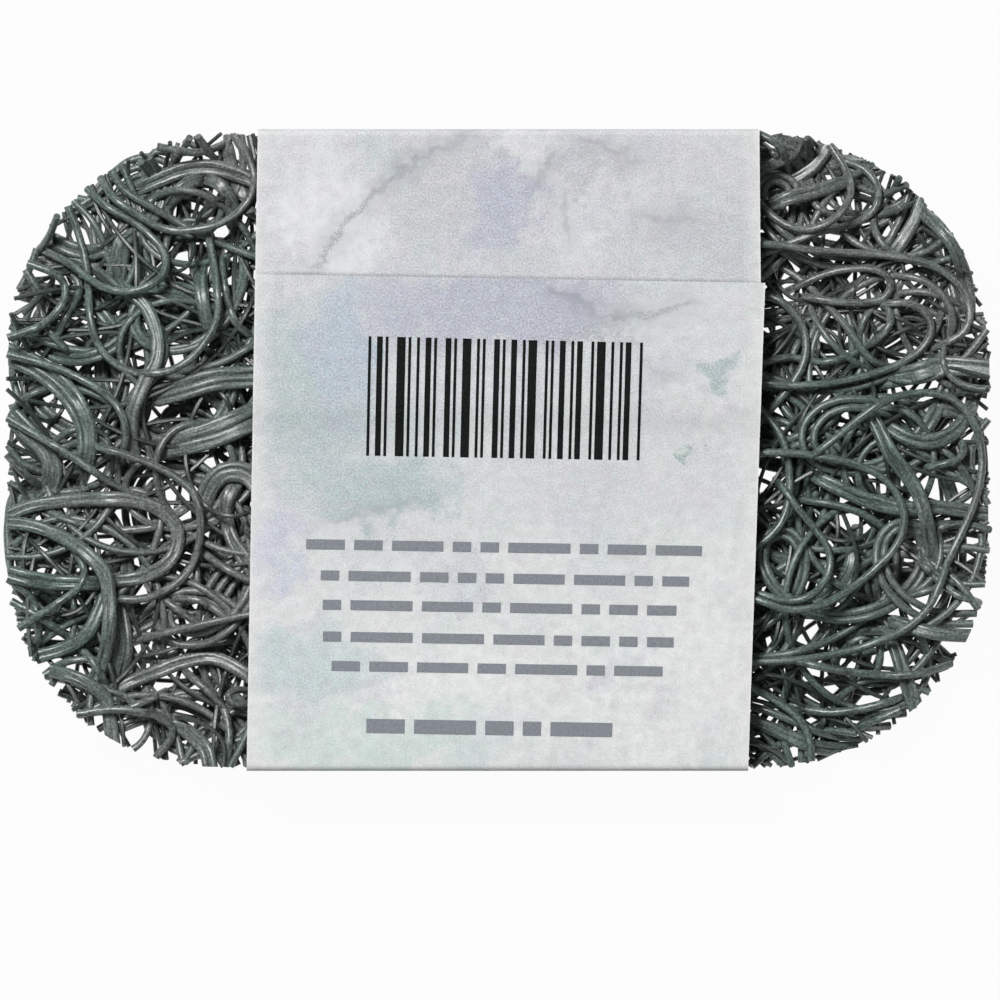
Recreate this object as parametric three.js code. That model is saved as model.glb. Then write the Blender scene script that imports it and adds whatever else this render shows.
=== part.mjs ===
// A soap saver: an open mat of looped plastic strands that lets a bar of soap drain and dry,
// held in a paper sleeve that wraps round its middle and slides off its end.
// Millimetres, +Z up. The mat lies flat with its length along X and its width along Y.
// The origin is under the middle of the part, on the surface that the sleeve rests on.

import * as THREE from "three";

// Driving dimensions of the mat, which a die cuts out of a sheet of strands.
const MAT_LENGTH = 118;
const MAT_WIDTH = 76;
const MAT_THICKNESS = 10;
const MAT_CORNER_RADIUS = 27;

// Driving dimensions of the strands.
const STRAND_DIAMETER = 1.1;
const STRAND_PITCH_SHARE = 0.86; // side by side strands are fused, so they stand closer than a diameter
const BOND_GAP = 0.1; // the weld line left between two strands that cross

// Driving dimensions of the paper sleeve.
const PAPER_WIDTH = 60;
const PAPER_THICKNESS = 0.25;
const PAPER_CLEARANCE = 0.15;
const FOLD_RADIUS = 0.6;
const SEAM_FROM_FOLD = 17.65;
const FLAP_OVERLAP = 13;
const FLAP_RISE_LENGTH = 4;
const SLEEVE_SKEW_DEGREES = 1;
const SLEEVE_OFFSET = 0.6; // how far off the mat's middle the sleeve was put on
const SEAM_END_FLARE = 1; // how much wider the strip was cut at its outer end
const FLAP_END_FLARE = 0.8; // and at its inner end

// Driving dimensions of the glue line that closes the sleeve.
const GLUE_WIDTH = 5;
const GLUE_THICKNESS = 0.15;
const GLUE_CLEARANCE = 0.05;
const GLUE_END_MARGIN = 4;
const GLUE_FROM_SEAM = 3;

// How finely the strands are drawn.
const LONGEST_SPAN = 3;
const SHORTEST_SPAN = 1.6;
const MOST_TURN_DEGREES = 25;
const FINE_SPACING = 0.5;
const CELL_SIZE = 3; // of the grid that finds near strands quickly

// How the strands drape on each other while the sheet is laid.
const DRAPE_RADIUS = 15;
const SELF_REACH = 5;
const DRAPE_PASSES = 60;
const LAYING_PASSES = 8;

const PERCENT = 0.01;
const HEXAGON_RISE_SHARE = Math.sin(Math.PI / 3);
const UP = new THREE.Vector3(0, 0, 1);

const STRAND_COLOUR = 0x4a5350;
const PAPER_COLOUR = 0xcfd0d6;
const GLUE_COLOUR = 0xe6e2d4;

// The heights of the stack, from the surface up.
const matBase = PAPER_THICKNESS + PAPER_CLEARANCE;
const matTop = matBase + MAT_THICKNESS;
const strandRadius = STRAND_DIAMETER / 2;

// The strands of the face that shows, in the order in which they were laid.
// Each has the number of strands fused side by side, and its route in hundredths of the mat's
// length and width from the mat's centre.
const leftFaceShares = [
  { count: 3, route: [[-37.6, 36.8], [-38.3, 33], [-38.8, 29.5], [-39, 25.4]] },
  { count: 2, route: [[-30.4, 31], [-30.3, 26.5], [-29.9, 22.5], [-29.4, 19]] },
  {
    count: 3,
    route: [[-50.4, 15.4], [-48, 14], [-45.8, 11.8], [-43.8, 9], [-42.4, 5.5], [-41.8, 2],
      [-42.1, -2], [-43, -5]],
  },
  {
    count: 4,
    route: [[-34.6, 0.4], [-31.4, 1.5], [-28.6, 2.8], [-26, 4.5], [-22.5, 6.8], [-17, 9]],
  },
  {
    count: 3,
    route: [[-34.6, 8.6], [-31.6, 9.9], [-29, 11.1], [-26, 11.5], [-22, 11.3], [-16, 9]],
  },
  {
    count: 3,
    route: [[-48.4, 3.4], [-46.8, 1.2], [-45.7, -1.4], [-45.5, -4.2], [-46.2, -6.6], [-47.6, -9]],
  },
  {
    count: 3,
    route: [[-39.2, -22.5], [-38.6, -26.5], [-38.3, -30.5], [-38.6, -34], [-39.6, -38.5]],
  },
  { count: 2, route: [[-47.4, -32.8], [-44.6, -31.6], [-42.4, -29.7], [-40.9, -27], [-40, -23]] },
  {
    count: 2,
    route: [[-40, -38.8], [-37, -36.4], [-34, -34.6], [-31.6, -33.3], [-29.5, -32.8],
      [-27.4, -33.8], [-25, -36.2], [-21, -41], [-15, -45]],
  },
  {
    count: 3,
    route: [[-30.2, -9], [-29.4, -5.8], [-27.9, -3.6], [-25.9, -3.5], [-24.4, -5.4], [-23.6, -9],
      [-24, -14]],
  },
  {
    count: 1,
    route: [[-44.2, 39.6], [-43.2, 36], [-42.5, 32.5], [-42, 29], [-41.7, 25], [-41.5, 21],
      [-40.8, 17], [-39.2, 14], [-37.6, 12.4], [-35.6, 11.6]],
  },
  {
    count: 2,
    route: [[-38, 25.6], [-36, 23], [-35, 19.8], [-34.6, 16.5], [-34.9, 13.5], [-36, 10.5],
      [-37, 7], [-37.4, 3], [-37, -1]],
  },
  {
    count: 1,
    route: [[-29.6, 34.5], [-28.9, 29], [-28.5, 24], [-28.6, 20.5], [-29.8, 17], [-31.6, 14],
      [-33.6, 12.4], [-36, 12.2]],
  },
  {
    count: 1,
    route: [[-49, 14.8], [-46.6, 13.8], [-44.2, 12.6], [-41.8, 10.6], [-39.6, 8.4], [-38.2, 5.6],
      [-37.8, 2.2], [-38.2, -1]],
  },
  {
    count: 1,
    route: [[-50.4, 5.4], [-47.5, 2.8], [-45, 0.6], [-42.6, -1.8], [-40.4, -4.1], [-38, -6.4],
      [-35, -8.6]],
  },
  {
    count: 1,
    route: [[-42.2, 42.2], [-41.4, 40.4], [-39.8, 38.5], [-37.6, 36.6], [-35.6, 34.2],
      [-34.1, 31.5], [-33.8, 28.8], [-34.8, 26.6], [-36.6, 25.3], [-38.8, 25.1], [-41, 26.5],
      [-43, 28.8], [-45, 30.8], [-47, 32.2]],
  },
  {
    count: 1,
    route: [[-40.8, 44], [-40.1, 41.6], [-38.8, 39.5], [-37, 37.6], [-35.3, 35.8], [-33.2, 34.8],
      [-30.8, 34.9], [-28.4, 35.8], [-26.4, 37.8], [-25.1, 40.6], [-24.9, 43.8], [-25.8, 47],
      [-27, 49.8]],
  },
  {
    count: 2,
    route: [[-50.4, -10.4], [-47.5, -8.8], [-44, -8], [-40, -7.7], [-36.6, -8.1], [-34.2, -9.7],
      [-32.8, -12.2], [-32.7, -15.2], [-33.8, -18], [-36, -19.9], [-39.4, -20.6]],
  },
  {
    count: 1,
    route: [[-40.4, 0.4], [-37.3, -1], [-35, -2.4], [-32.8, -4.2], [-31, -6.8], [-30.3, -10],
      [-30.4, -14], [-31, -17.8], [-32.6, -20.8], [-34.8, -22.9], [-36.8, -23.6], [-39, -23.4]],
  },
  {
    count: 2,
    route: [[-50.2, -11.4], [-47.5, -11.9], [-44.8, -13.4], [-42.4, -15.6], [-40.5, -18.2],
      [-39.6, -21.3], [-39.5, -25], [-39.6, -29], [-40.2, -33], [-41.4, -37]],
  },
  {
    count: 2,
    route: [[-46.8, -34.8], [-44, -35.5], [-41.9, -36.6], [-40.3, -38.6], [-39.5, -41.5],
      [-39.3, -46.5]],
  },
  {
    count: 1,
    route: [[-43.4, -42.2], [-40, -41], [-37, -41.2], [-34.8, -42], [-33.3, -43.8], [-33.2, -46],
      [-34.4, -47.8], [-36.6, -48.8]],
  },
];

const rightFaceShares = [
  {
    count: 3,
    route: [[43.4, 42.4], [42.9, 40.4], [42.2, 37.8], [41.3, 34.6], [39.6, 30.6]],
  },
  {
    count: 3,
    route: [[20, -39], [25.6, -41.8], [28.4, -43.3], [31, -45.2], [34, -46.8], [37.4, -47.2]],
  },
  {
    count: 2,
    route: [[32.6, -4.4], [35.8, -6.8], [38.6, -8.4], [41.6, -9.2], [44.6, -9], [48.6, -9.8]],
  },
  { count: 2, route: [[39.6, 3.8], [42.4, 1.5], [45.2, 1.8], [47.2, 4], [48.4, 7.5], [48.4, 11]] },
  { count: 2, route: [[39.6, -28], [40.8, -32.4], [41.5, -36], [42.6, -40.6]] },
  {
    count: 1,
    route: [[25.6, 8], [28.2, 3.8], [29.2, 0.6], [29.6, -3], [29.6, -7], [29.1, -10.6],
      [27.6, -13.6], [24.5, -16.6], [19, -19]],
  },
  {
    count: 2,
    route: [[37.6, 6.6], [38.9, 2.6], [40, -0.8], [41.6, -4], [43, -7.8], [43.7, -12],
      [44.3, -16.4], [45, -20.6]],
  },
  {
    count: 1,
    route: [[35, 46.2], [37.4, 44.6], [38.5, 42.6], [38.8, 40], [38.2, 37.8], [36.6, 36.1],
      [34.2, 35], [31.8, 34], [29, 32.2], [25, 30]],
  },
  {
    count: 1,
    route: [[34, 48.4], [35.2, 45.2], [35.9, 42.4], [35.7, 39.6], [34.5, 37], [32.6, 35.2],
      [30.6, 34.9], [28.8, 36], [27.2, 38], [25.2, 41.4], [20, 45]],
  },
  {
    count: 1,
    route: [[20, 32.4], [28, 32.4], [31.5, 31.6], [35.5, 31.2], [39.5, 30.8], [43, 29.8],
      [45.6, 28], [47.4, 25.3], [48.1, 22], [47.6, 19], [46, 17.2], [43, 15.6]],
  },
  {
    count: 1,
    route: [[30.6, 26], [34, 28.2], [36.8, 28.7], [39, 28.2], [40, 26.3], [39.4, 24.2],
      [37.6, 23.4], [34.8, 23.4], [31.6, 24.2]],
  },
  {
    count: 1,
    route: [[39.4, 23.2], [42.3, 23], [43.9, 21], [44.1, 18.4], [43, 15.8], [40.8, 13.6], [38, 12],
      [35, 10.9], [32, 10.3], [28, 10.4], [20, 13]],
  },
  {
    count: 1,
    route: [[29, -6], [31.4, -11], [33, -14], [33.8, -17.4], [33.3, -20.4], [31.9, -22.8],
      [29.6, -23.8], [27.2, -23], [23.5, -20.4], [18, -14]],
  },
  {
    count: 1,
    route: [[18, -2], [25, -0.6], [29, -0.4], [32.6, -1], [36, -2.1], [38.7, -3.9], [40.5, -6.8],
      [41.3, -10.4], [40.9, -14], [39.2, -17.4], [36.8, -20.8], [34, -23.6], [31, -25.1],
      [28, -24.7], [25, -22.6], [20, -21]],
  },
  {
    count: 1,
    route: [[32, -0.8], [35, 2.8], [37.6, 6], [40.2, 8.3], [43.2, 9], [46, 8.3], [48, 5.4],
      [49.1, 1.5], [49.3, -3], [48.6, -8], [47.2, -13.2], [45.8, -17.6], [44.9, -21.4],
      [43.8, -24.8], [41.6, -28], [38.6, -30.3], [35, -32], [31, -33], [26, -33.4], [18, -33]],
  },
  {
    count: 1,
    route: [[30.6, -33.4], [34.5, -34.7], [37.8, -35.4], [41.2, -35.6], [44, -35], [46.4, -33.8]],
  },
  { count: 1, route: [[29.6, -40], [33, -41.5], [36, -41.2], [39, -40.2], [41, -39.2]] },
  {
    count: 1,
    route: [[18, -31], [24, -36], [26.6, -38.2], [29, -40.3], [30.8, -42.8], [31.7, -45.6],
      [32, -50]],
  },
];

// Strands that cross the whole mat under the sleeve and show at both its ends.
const crossingShares = [
  {
    count: 2,
    route: [[-37.6, 41], [-34.5, 43], [-31.5, 44.6], [-28.5, 44.6], [-25.5, 43], [-20, 39],
      [-12, 37.5], [-4, 40], [5, 42.5], [14, 40], [22, 39.5], [27, 41.2], [29.6, 42.6], [31.5, 44],
      [32.9, 46.2], [34, 48.8]],
  },
  {
    count: 1,
    route: [[-32.2, 12.6], [-29.6, 13.2], [-27.4, 14.4], [-25.4, 16.2], [-21, 19], [-13, 20],
      [-5, 16], [3, 14], [11, 18], [18, 23.6], [25.5, 24.9], [28, 24.2], [30, 22], [31.2, 18.8],
      [31.3, 15], [30.5, 11.8], [29, 8.8], [27.2, 5.6], [23, 2], [17, 1]],
  },
  {
    count: 1,
    route: [[-38, -30.9], [-35.4, -29.5], [-32, -28.2], [-28.6, -27], [-25, -25.9], [-18, -25],
      [-10, -27.5], [-2, -32], [6, -34], [13, -32.6], [19, -31.5], [25, -32.6], [29, -32.3],
      [32.6, -30.8], [35.8, -28.4], [38.3, -25.4], [39.9, -22], [40.6, -18], [40.2, -14.2],
      [38.5, -11.3], [36, -9.4], [33, -8.3], [28, -7.4]],
  },
  {
    count: 1,
    route: [[-39.6, 44.8], [-38.6, 42], [-36.6, 39.7], [-34, 37.3], [-31, 34.8], [-28, 32.6],
      [-25, 30.8], [-19, 28.4], [-11, 27], [-3, 30], [5, 34.5], [13, 36], [20, 34.6], [25.5, 31.5],
      [28, 29.8], [30.4, 27.6], [32.6, 24.6], [34.4, 21.4], [36.2, 18.3], [37.2, 15.8], [38.4, 14],
      [41.4, 13.2]],
  },
];

// The rest of the sheet is laid by nozzles that swing as the belt moves, so each strand is a row of loops.
// A row has its end points and the radius of its loops in hundredths of the mat's length and width.
const baseRowShares = [
  { count: 3, from: [-54, 35], to: [54, 27], radius: 7.5, loops: 7, phase: 0.05 },
  { count: 3, from: [-54, 10], to: [54, 9], radius: 6.6, loops: 11, phase: 0.39 },
  { count: 3, from: [-54, -15], to: [54, -7], radius: 7.3, loops: 9, phase: 0.59 },
  { count: 3, from: [-54, -30], to: [54, -29], radius: 8.9, loops: 10, phase: 0.35 },
  { count: 2, from: [-46, -56], to: [-40, 56], radius: 5.2, loops: 7, phase: 0.71 },
  { count: 2, from: [-29, -56], to: [-33, 56], radius: 5.2, loops: 7, phase: 0.64 },
  { count: 2, from: [22, -56], to: [32, 56], radius: 6.9, loops: 6, phase: 0.16 },
  { count: 2, from: [43, -56], to: [38, 56], radius: 7.4, loops: 3, phase: 0.93 },
];
const coverRowShares = [
  { count: 2, from: [-20, -56], to: [-14, 56], radius: 5.6, loops: 3, phase: 0.53 },
  { count: 2, from: [-4, 56], to: [-9, -56], radius: 6.5, loops: 3, phase: 0.55 },
  { count: 2, from: [5, -56], to: [8, 56], radius: 7.1, loops: 4, phase: 0.68 },
  { count: 2, from: [19, 56], to: [16, -56], radius: 6.8, loops: 3, phase: 0.18 },
  { count: 2, from: [-24, -22], to: [54, -20], radius: 4.6, loops: 6, phase: 0.22 },
  { count: 2, from: [-20, 22], to: [54, 40], radius: 5, loops: 4, phase: 0.64 },
];

// Distance from a point to the die's rounded rectangle, in plan. It is negative inside.
function distanceOutside(x, y) {
  const dx = Math.abs(x) - (MAT_LENGTH / 2 - MAT_CORNER_RADIUS);
  const dy = Math.abs(y) - (MAT_WIDTH / 2 - MAT_CORNER_RADIUS);
  const beyond = Math.hypot(Math.max(dx, 0), Math.max(dy, 0));
  return beyond + Math.min(Math.max(dx, dy), 0) - MAT_CORNER_RADIUS;
}

// A smooth plan route through points given in hundredths, as points a fine step apart.
function fineRoute(shares) {
  const points = shares.map(
    ([x, y]) => new THREE.Vector3(x * PERCENT * MAT_LENGTH, y * PERCENT * MAT_WIDTH, 0),
  );
  const curve = new THREE.CatmullRomCurve3(points, false, "centripetal");
  const steps = Math.max(2, Math.round(curve.getLength() / FINE_SPACING));
  return curve.getSpacedPoints(steps);
}

// A row of loops that drifts from one side of the mat to the other.
function loopRow({ from, to, radius, loops, phase }) {
  const steps = loops * 16;
  const along = [to[0] - from[0], to[1] - from[1]];
  const shares = [];
  for (let i = 0; i <= steps; i++) {
    const t = i / steps;
    const angle = 2 * Math.PI * (loops * t + phase);
    const swell = 1 + 0.22 * Math.sin(2 * angle * 0.37 + phase * 9);
    shares.push([
      from[0] + along[0] * t + radius * swell * Math.cos(angle),
      from[1] + along[1] * t + ((radius * MAT_LENGTH) / MAT_WIDTH) * swell * Math.sin(angle),
    ]);
  }
  return fineRoute(shares);
}

// The longest stretch of a route that lies inside the die, with ends near the outline run out to it.
function cutByDie(route) {
  let best = [];
  let run = [];
  for (const p of route) {
    if (distanceOutside(p.x, p.y) < 0) {
      run.push(p);
      if (run.length > best.length) best = run;
    } else {
      run = [];
    }
  }
  const kept = best.map((p) => p.clone());
  const last = kept.length - 1;
  return { points: kept, startCut: runOut(kept, 0, 1), endCut: runOut(kept, last, last - 1) };
}

// Moves an end point along its own direction onto the outline, if it is close to it.
function runOut(points, end, before) {
  const tip = points[end];
  if (distanceOutside(tip.x, tip.y) < -2 * STRAND_DIAMETER) return false;
  const direction = tip.clone().sub(points[before]).normalize();
  slideToOutline(tip, direction);
  return true;
}

// Slides a point along a direction until it lies on the outline.
function slideToOutline(point, direction) {
  const most = 3 * STRAND_DIAMETER;
  let low = -most;
  let high = most;
  const at = (t) => distanceOutside(point.x + direction.x * t, point.y + direction.y * t);
  if (at(low) > 0 || at(high) < 0) return;
  for (let i = 0; i < 30; i++) {
    const middle = (low + high) / 2;
    if (at(middle) < 0) low = middle;
    else high = middle;
  }
  point.addScaledVector(direction, (low + high) / 2);
}

// Moves a point that lies outside the outline straight in to it, as the die's blade would trim it.
function trimToOutline(point) {
  const outside = distanceOutside(point.x, point.y);
  if (outside <= 0) return;
  const dx = Math.abs(point.x) - (MAT_LENGTH / 2 - MAT_CORNER_RADIUS);
  const dy = Math.abs(point.y) - (MAT_WIDTH / 2 - MAT_CORNER_RADIUS);
  const way = new THREE.Vector2(Math.max(dx, 0), Math.max(dy, 0)).normalize();
  point.x -= Math.sign(point.x) * way.x * outside;
  point.y -= Math.sign(point.y) * way.y * outside;
}

// Picks the stations of a route: closer together where it turns.
function stationsOf(fine) {
  const stations = [0];
  const mostTurn = THREE.MathUtils.degToRad(MOST_TURN_DEGREES);
  let travelled = 0;
  let turned = 0;
  for (let i = 1; i < fine.length - 1; i++) {
    const before = fine[i].clone().sub(fine[i - 1]);
    const after = fine[i + 1].clone().sub(fine[i]);
    travelled += before.length();
    turned += before.angleTo(after);
    const left = (fine.length - 1 - i) * FINE_SPACING;
    const due = travelled >= LONGEST_SPAN || (turned >= mostTurn && travelled >= SHORTEST_SPAN);
    if (due && left > SHORTEST_SPAN) {
      stations.push(i);
      travelled = 0;
      turned = 0;
    }
  }
  stations.push(fine.length - 1);
  return stations.map((i) => fine[i].clone());
}

// Half the width of a number of strands fused side by side.
function halfWidthOf(count) {
  return strandRadius + ((count - 1) * STRAND_DIAMETER * STRAND_PITCH_SHARE) / 2;
}

// Points along the chords between a strand's stations, for measuring against other strands.
function chordSamples(strand) {
  const samples = [];
  for (let i = 0; i + 1 < strand.stations.length; i++) {
    const a = strand.stations[i];
    const b = strand.stations[i + 1];
    const parts = Math.max(1, Math.ceil(a.distanceTo(b) / FINE_SPACING));
    for (let k = 0; k <= parts; k++) samples.push({ i, t: k / parts, point: a.clone().lerp(b, k / parts) });
  }
  let length = 0;
  samples.forEach((s, k) => {
    if (k) length += Math.hypot(s.point.x - samples[k - 1].point.x, s.point.y - samples[k - 1].point.y);
    s.length = length;
  });
  return samples;
}

// A grid of the samples that have been laid, so that near ones are found quickly.
const laidCells = new Map();
const cellKey = (x, y) => Math.floor(x / CELL_SIZE) * 4096 + Math.floor(y / CELL_SIZE);

function addToCells(strand) {
  for (const s of chordSamples(strand)) {
    const key = cellKey(s.point.x, s.point.y);
    if (!laidCells.has(key)) laidCells.set(key, []);
    laidCells.get(key).push({ x: s.point.x, y: s.point.y, z: s.point.z, halfWidth: strand.halfWidth });
  }
}

// The height that a strand's centre needs to clear another strand's centre line, from their distance
// in plan.
function heightToClear(plan, halfWidthSum) {
  const reach = STRAND_DIAMETER + BOND_GAP;
  const flatOnFlat = STRAND_DIAMETER * HEXAGON_RISE_SHARE + BOND_GAP;
  const beside = Math.max(0, plan - (halfWidthSum - STRAND_DIAMETER));
  if (beside >= reach) return -Infinity;
  return Math.min(Math.sqrt(reach * reach - beside * beside), flatOnFlat);
}

function supportUnder(x, y, halfWidth) {
  let height = strandRadius;
  for (let dx = -1; dx <= 1; dx++) {
    for (let dy = -1; dy <= 1; dy++) {
      for (const laid of laidCells.get(cellKey(x + dx * CELL_SIZE, y + dy * CELL_SIZE)) || []) {
        const plan = Math.hypot(laid.x - x, laid.y - y);
        height = Math.max(height, laid.z + heightToClear(plan, halfWidth + laid.halfWidth));
      }
    }
  }
  return height;
}

// Lays one strand on those before it: each chord is raised clear of what is under it, and the strand's
// own stiffness bridges the dips.
function drape(strand) {
  const { stations, halfWidth } = strand;
  stations.forEach((p) => (p.z = strandRadius));
  const samples = chordSamples(strand);
  const support = samples.map((s) => supportUnder(s.point.x, s.point.y, halfWidth));
  for (let pass = 0; pass < LAYING_PASSES; pass++) {
    for (let round = 0; round < DRAPE_PASSES; round++) {
      samples.forEach((s, k) => raiseChord(stations, s, support[k]));
      for (let i = 1; i + 1 < stations.length; i++) stiffen(stations, i);
    }
    if (!clearOfItself(strand, samples, support)) break;
  }
}

// Raises the lower end of a chord first, and no end above the height that is needed.
function raiseChord(stations, sample, height) {
  let low = stations[sample.i];
  let high = stations[sample.i + 1];
  let lowWeight = 1 - sample.t;
  if (low.z > high.z) {
    [low, high] = [high, low];
    lowWeight = sample.t;
  }
  if (low.z * lowWeight + high.z * (1 - lowWeight) >= height) return;
  const level = (height - high.z * (1 - lowWeight)) / Math.max(lowWeight, 1e-9);
  low.z = Math.min(level, height);
  if (level > high.z) {
    low.z = height;
    high.z = Math.max(high.z, height);
  }
}

function stiffen(stations, i) {
  const before = stations[i].distanceTo(stations[i - 1]);
  const after = stations[i].distanceTo(stations[i + 1]);
  const level = (stations[i - 1].z * after + stations[i + 1].z * before) / (before + after);
  const sag = (before * after) / (2 * DRAPE_RADIUS);
  stations[i].z = Math.max(stations[i].z, level - sag);
}

// Where a strand loops over itself, its later run lies on its earlier one.
function clearOfItself(strand, samples, support) {
  const heightAt = (s) => strand.stations[s.i].z * (1 - s.t) + strand.stations[s.i + 1].z * s.t;
  let changed = false;
  for (let k = 0; k < samples.length; k++) {
    for (let j = 0; j < k; j++) {
      if (samples[k].length - samples[j].length < SELF_REACH) break;
      const plan = Math.hypot(
        samples[k].point.x - samples[j].point.x,
        samples[k].point.y - samples[j].point.y,
      );
      const needed = heightAt(samples[j]) + heightToClear(plan, 2 * strand.halfWidth);
      if (needed > support[k] + 1e-3) {
        support[k] = needed;
        changed = true;
      }
    }
  }
  return changed;
}

function newStrand(name, count, route) {
  const { points, startCut, endCut } = cutByDie(route);
  return { name, count, halfWidth: halfWidthOf(count), stations: stationsOf(points), startCut, endCut };
}

const twoDigits = (n) => String(n + 1).padStart(2, "0");
const strands = [
  ...baseRowShares.map((row, i) => newStrand("base_strand_" + twoDigits(i), row.count, loopRow(row))),
  ...crossingShares.map(({ count, route }, i) =>
    newStrand("crossing_strand_" + twoDigits(i), count, fineRoute(route)),
  ),
  ...coverRowShares.map((row, i) => newStrand("cover_strand_" + twoDigits(i), row.count, loopRow(row))),
  ...leftFaceShares.map(({ count, route }, i) =>
    newStrand("left_face_strand_" + twoDigits(i), count, fineRoute(route)),
  ),
  ...rightFaceShares.map(({ count, route }, i) =>
    newStrand("right_face_strand_" + twoDigits(i), count, fineRoute(route)),
  ),
];
for (const strand of strands) {
  drape(strand);
  addToCells(strand);
}

// The laid pile is spread evenly through the mat's thickness.
const pileTop = Math.max(...strands.flatMap((s) => s.stations.map((p) => p.z))) + strandRadius;
const spread = (MAT_THICKNESS - STRAND_DIAMETER) / (pileTop - STRAND_DIAMETER);
for (const strand of strands) {
  strand.stations.forEach((p) => (p.z = matBase + strandRadius + (p.z - strandRadius) * spread));
}
const strandLength = strands.reduce(
  (sum, s) => sum + s.stations.slice(1).reduce((l, p, i) => l + p.distanceTo(s.stations[i]), 0),
  0,
);
console.log(`The pile is ${pileTop.toFixed(2)} mm high before it is spread by ${spread.toFixed(2)}.`);
console.log(`It has ${(strandLength / 1000).toFixed(2)} m of strand.`);

// The six corners of a strand's section, as [across, up] from its centre.
function sectionOf(halfWidth) {
  const shoulder = halfWidth - strandRadius / 2;
  const rise = strandRadius * HEXAGON_RISE_SHARE;
  return [
    [halfWidth, 0],
    [shoulder, rise],
    [-shoulder, rise],
    [-halfWidth, 0],
    [-shoulder, -rise],
    [shoulder, -rise],
  ];
}

// The solid of a strand: one ring of corners at each station, closed by a flat cut at each end.
function strandGeometry({ stations, halfWidth, startCut, endCut }) {
  const section = sectionOf(halfWidth);
  const sides = section.length;
  const rings = stations.map((centre, i) => {
    const before = stations[Math.max(0, i - 1)];
    const after = stations[Math.min(stations.length - 1, i + 1)];
    const along = after.clone().sub(before).normalize();
    const across = new THREE.Vector3().crossVectors(along, UP).normalize();
    const up = new THREE.Vector3().crossVectors(across, along);
    const ring = section.map(([a, u]) => centre.clone().addScaledVector(across, a).addScaledVector(up, u));
    const cut = (i === 0 && startCut) || (i === stations.length - 1 && endCut);
    const blade = new THREE.Vector3(along.x, along.y, 0).normalize();
    if (cut) ring.forEach((corner) => slideToOutline(corner, blade));
    ring.forEach(trimToOutline);
    return ring;
  });
  const positions = rings.flat().flatMap((p) => [p.x, p.y, p.z]);
  const index = [];
  for (let r = 0; r + 1 < rings.length; r++) {
    for (let k = 0; k < sides; k++) {
      const a = r * sides + k;
      const b = r * sides + ((k + 1) % sides);
      index.push(a, a + sides, b, b, a + sides, b + sides);
    }
  }
  const last = (rings.length - 1) * sides;
  for (let k = 1; k + 1 < sides; k++) {
    index.push(0, k, k + 1);
    index.push(last, last + k + 1, last + k);
  }
  const geometry = new THREE.BufferGeometry();
  geometry.setAttribute("position", new THREE.Float32BufferAttribute(positions, 3));
  geometry.setIndex(index);
  return geometry;
}

// The paper's path round the mat, seen along X, as points on its inner face: [y, z, side], where side
// is the way out of the sleeve there.
const innerHalfWidth = MAT_WIDTH / 2 + PAPER_CLEARANCE;
const innerBottom = PAPER_THICKNESS;
const innerTop = matTop + PAPER_CLEARANCE;
const seamY = innerHalfWidth - SEAM_FROM_FOLD;
const flapEdgeY = seamY - FLAP_OVERLAP;
const flapLift = PAPER_THICKNESS + GLUE_THICKNESS + 2 * GLUE_CLEARANCE;

function foldPoints(centreY, centreZ, fromDegrees) {
  const steps = 3;
  const points = [];
  for (let i = 0; i <= steps; i++) {
    const angle = THREE.MathUtils.degToRad(fromDegrees - (90 * i) / steps);
    const out = [Math.cos(angle), Math.sin(angle)];
    points.push({ y: centreY + FOLD_RADIUS * out[0], z: centreZ + FOLD_RADIUS * out[1], out });
  }
  return points;
}

const upward = [0, 1];
const paperPath = [
  { y: flapEdgeY, z: innerTop, out: upward },
  { y: seamY, z: innerTop, out: upward },
  ...foldPoints(innerHalfWidth - FOLD_RADIUS, innerTop - FOLD_RADIUS, 90),
  ...foldPoints(innerHalfWidth - FOLD_RADIUS, innerBottom + FOLD_RADIUS, 0),
  ...foldPoints(-innerHalfWidth + FOLD_RADIUS, innerBottom + FOLD_RADIUS, -90),
  ...foldPoints(-innerHalfWidth + FOLD_RADIUS, innerTop - FOLD_RADIUS, -180),
  { y: flapEdgeY - 1.5 * FLAP_RISE_LENGTH, z: innerTop, out: upward },
  { y: flapEdgeY - 0.5 * FLAP_RISE_LENGTH, z: innerTop + flapLift, out: upward },
  { y: flapEdgeY, z: innerTop + flapLift, out: upward },
  { y: seamY, z: innerTop + flapLift, out: upward, atSeam: true },
];

// The sleeve was wrapped a little askew, so its sides lean with Y, and its seam leans with X.
// Its strip has one straight side. The other side flares towards both of the strip's ends.
const skew = Math.tan(THREE.MathUtils.degToRad(SLEEVE_SKEW_DEGREES));
const leaning = (x, y) => x + SLEEVE_OFFSET + skew * y;

function flareAt(walked, stripLength) {
  const flapPanel = innerHalfWidth - flapEdgeY;
  const outerPanel = innerHalfWidth + seamY;
  const intoFlap = THREE.MathUtils.clamp(1 - walked / flapPanel, 0, 1);
  const intoOuter = THREE.MathUtils.clamp(1 - (stripLength - walked) / outerPanel, 0, 1);
  return FLAP_END_FLARE * intoFlap + SEAM_END_FLARE * intoOuter;
}

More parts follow.
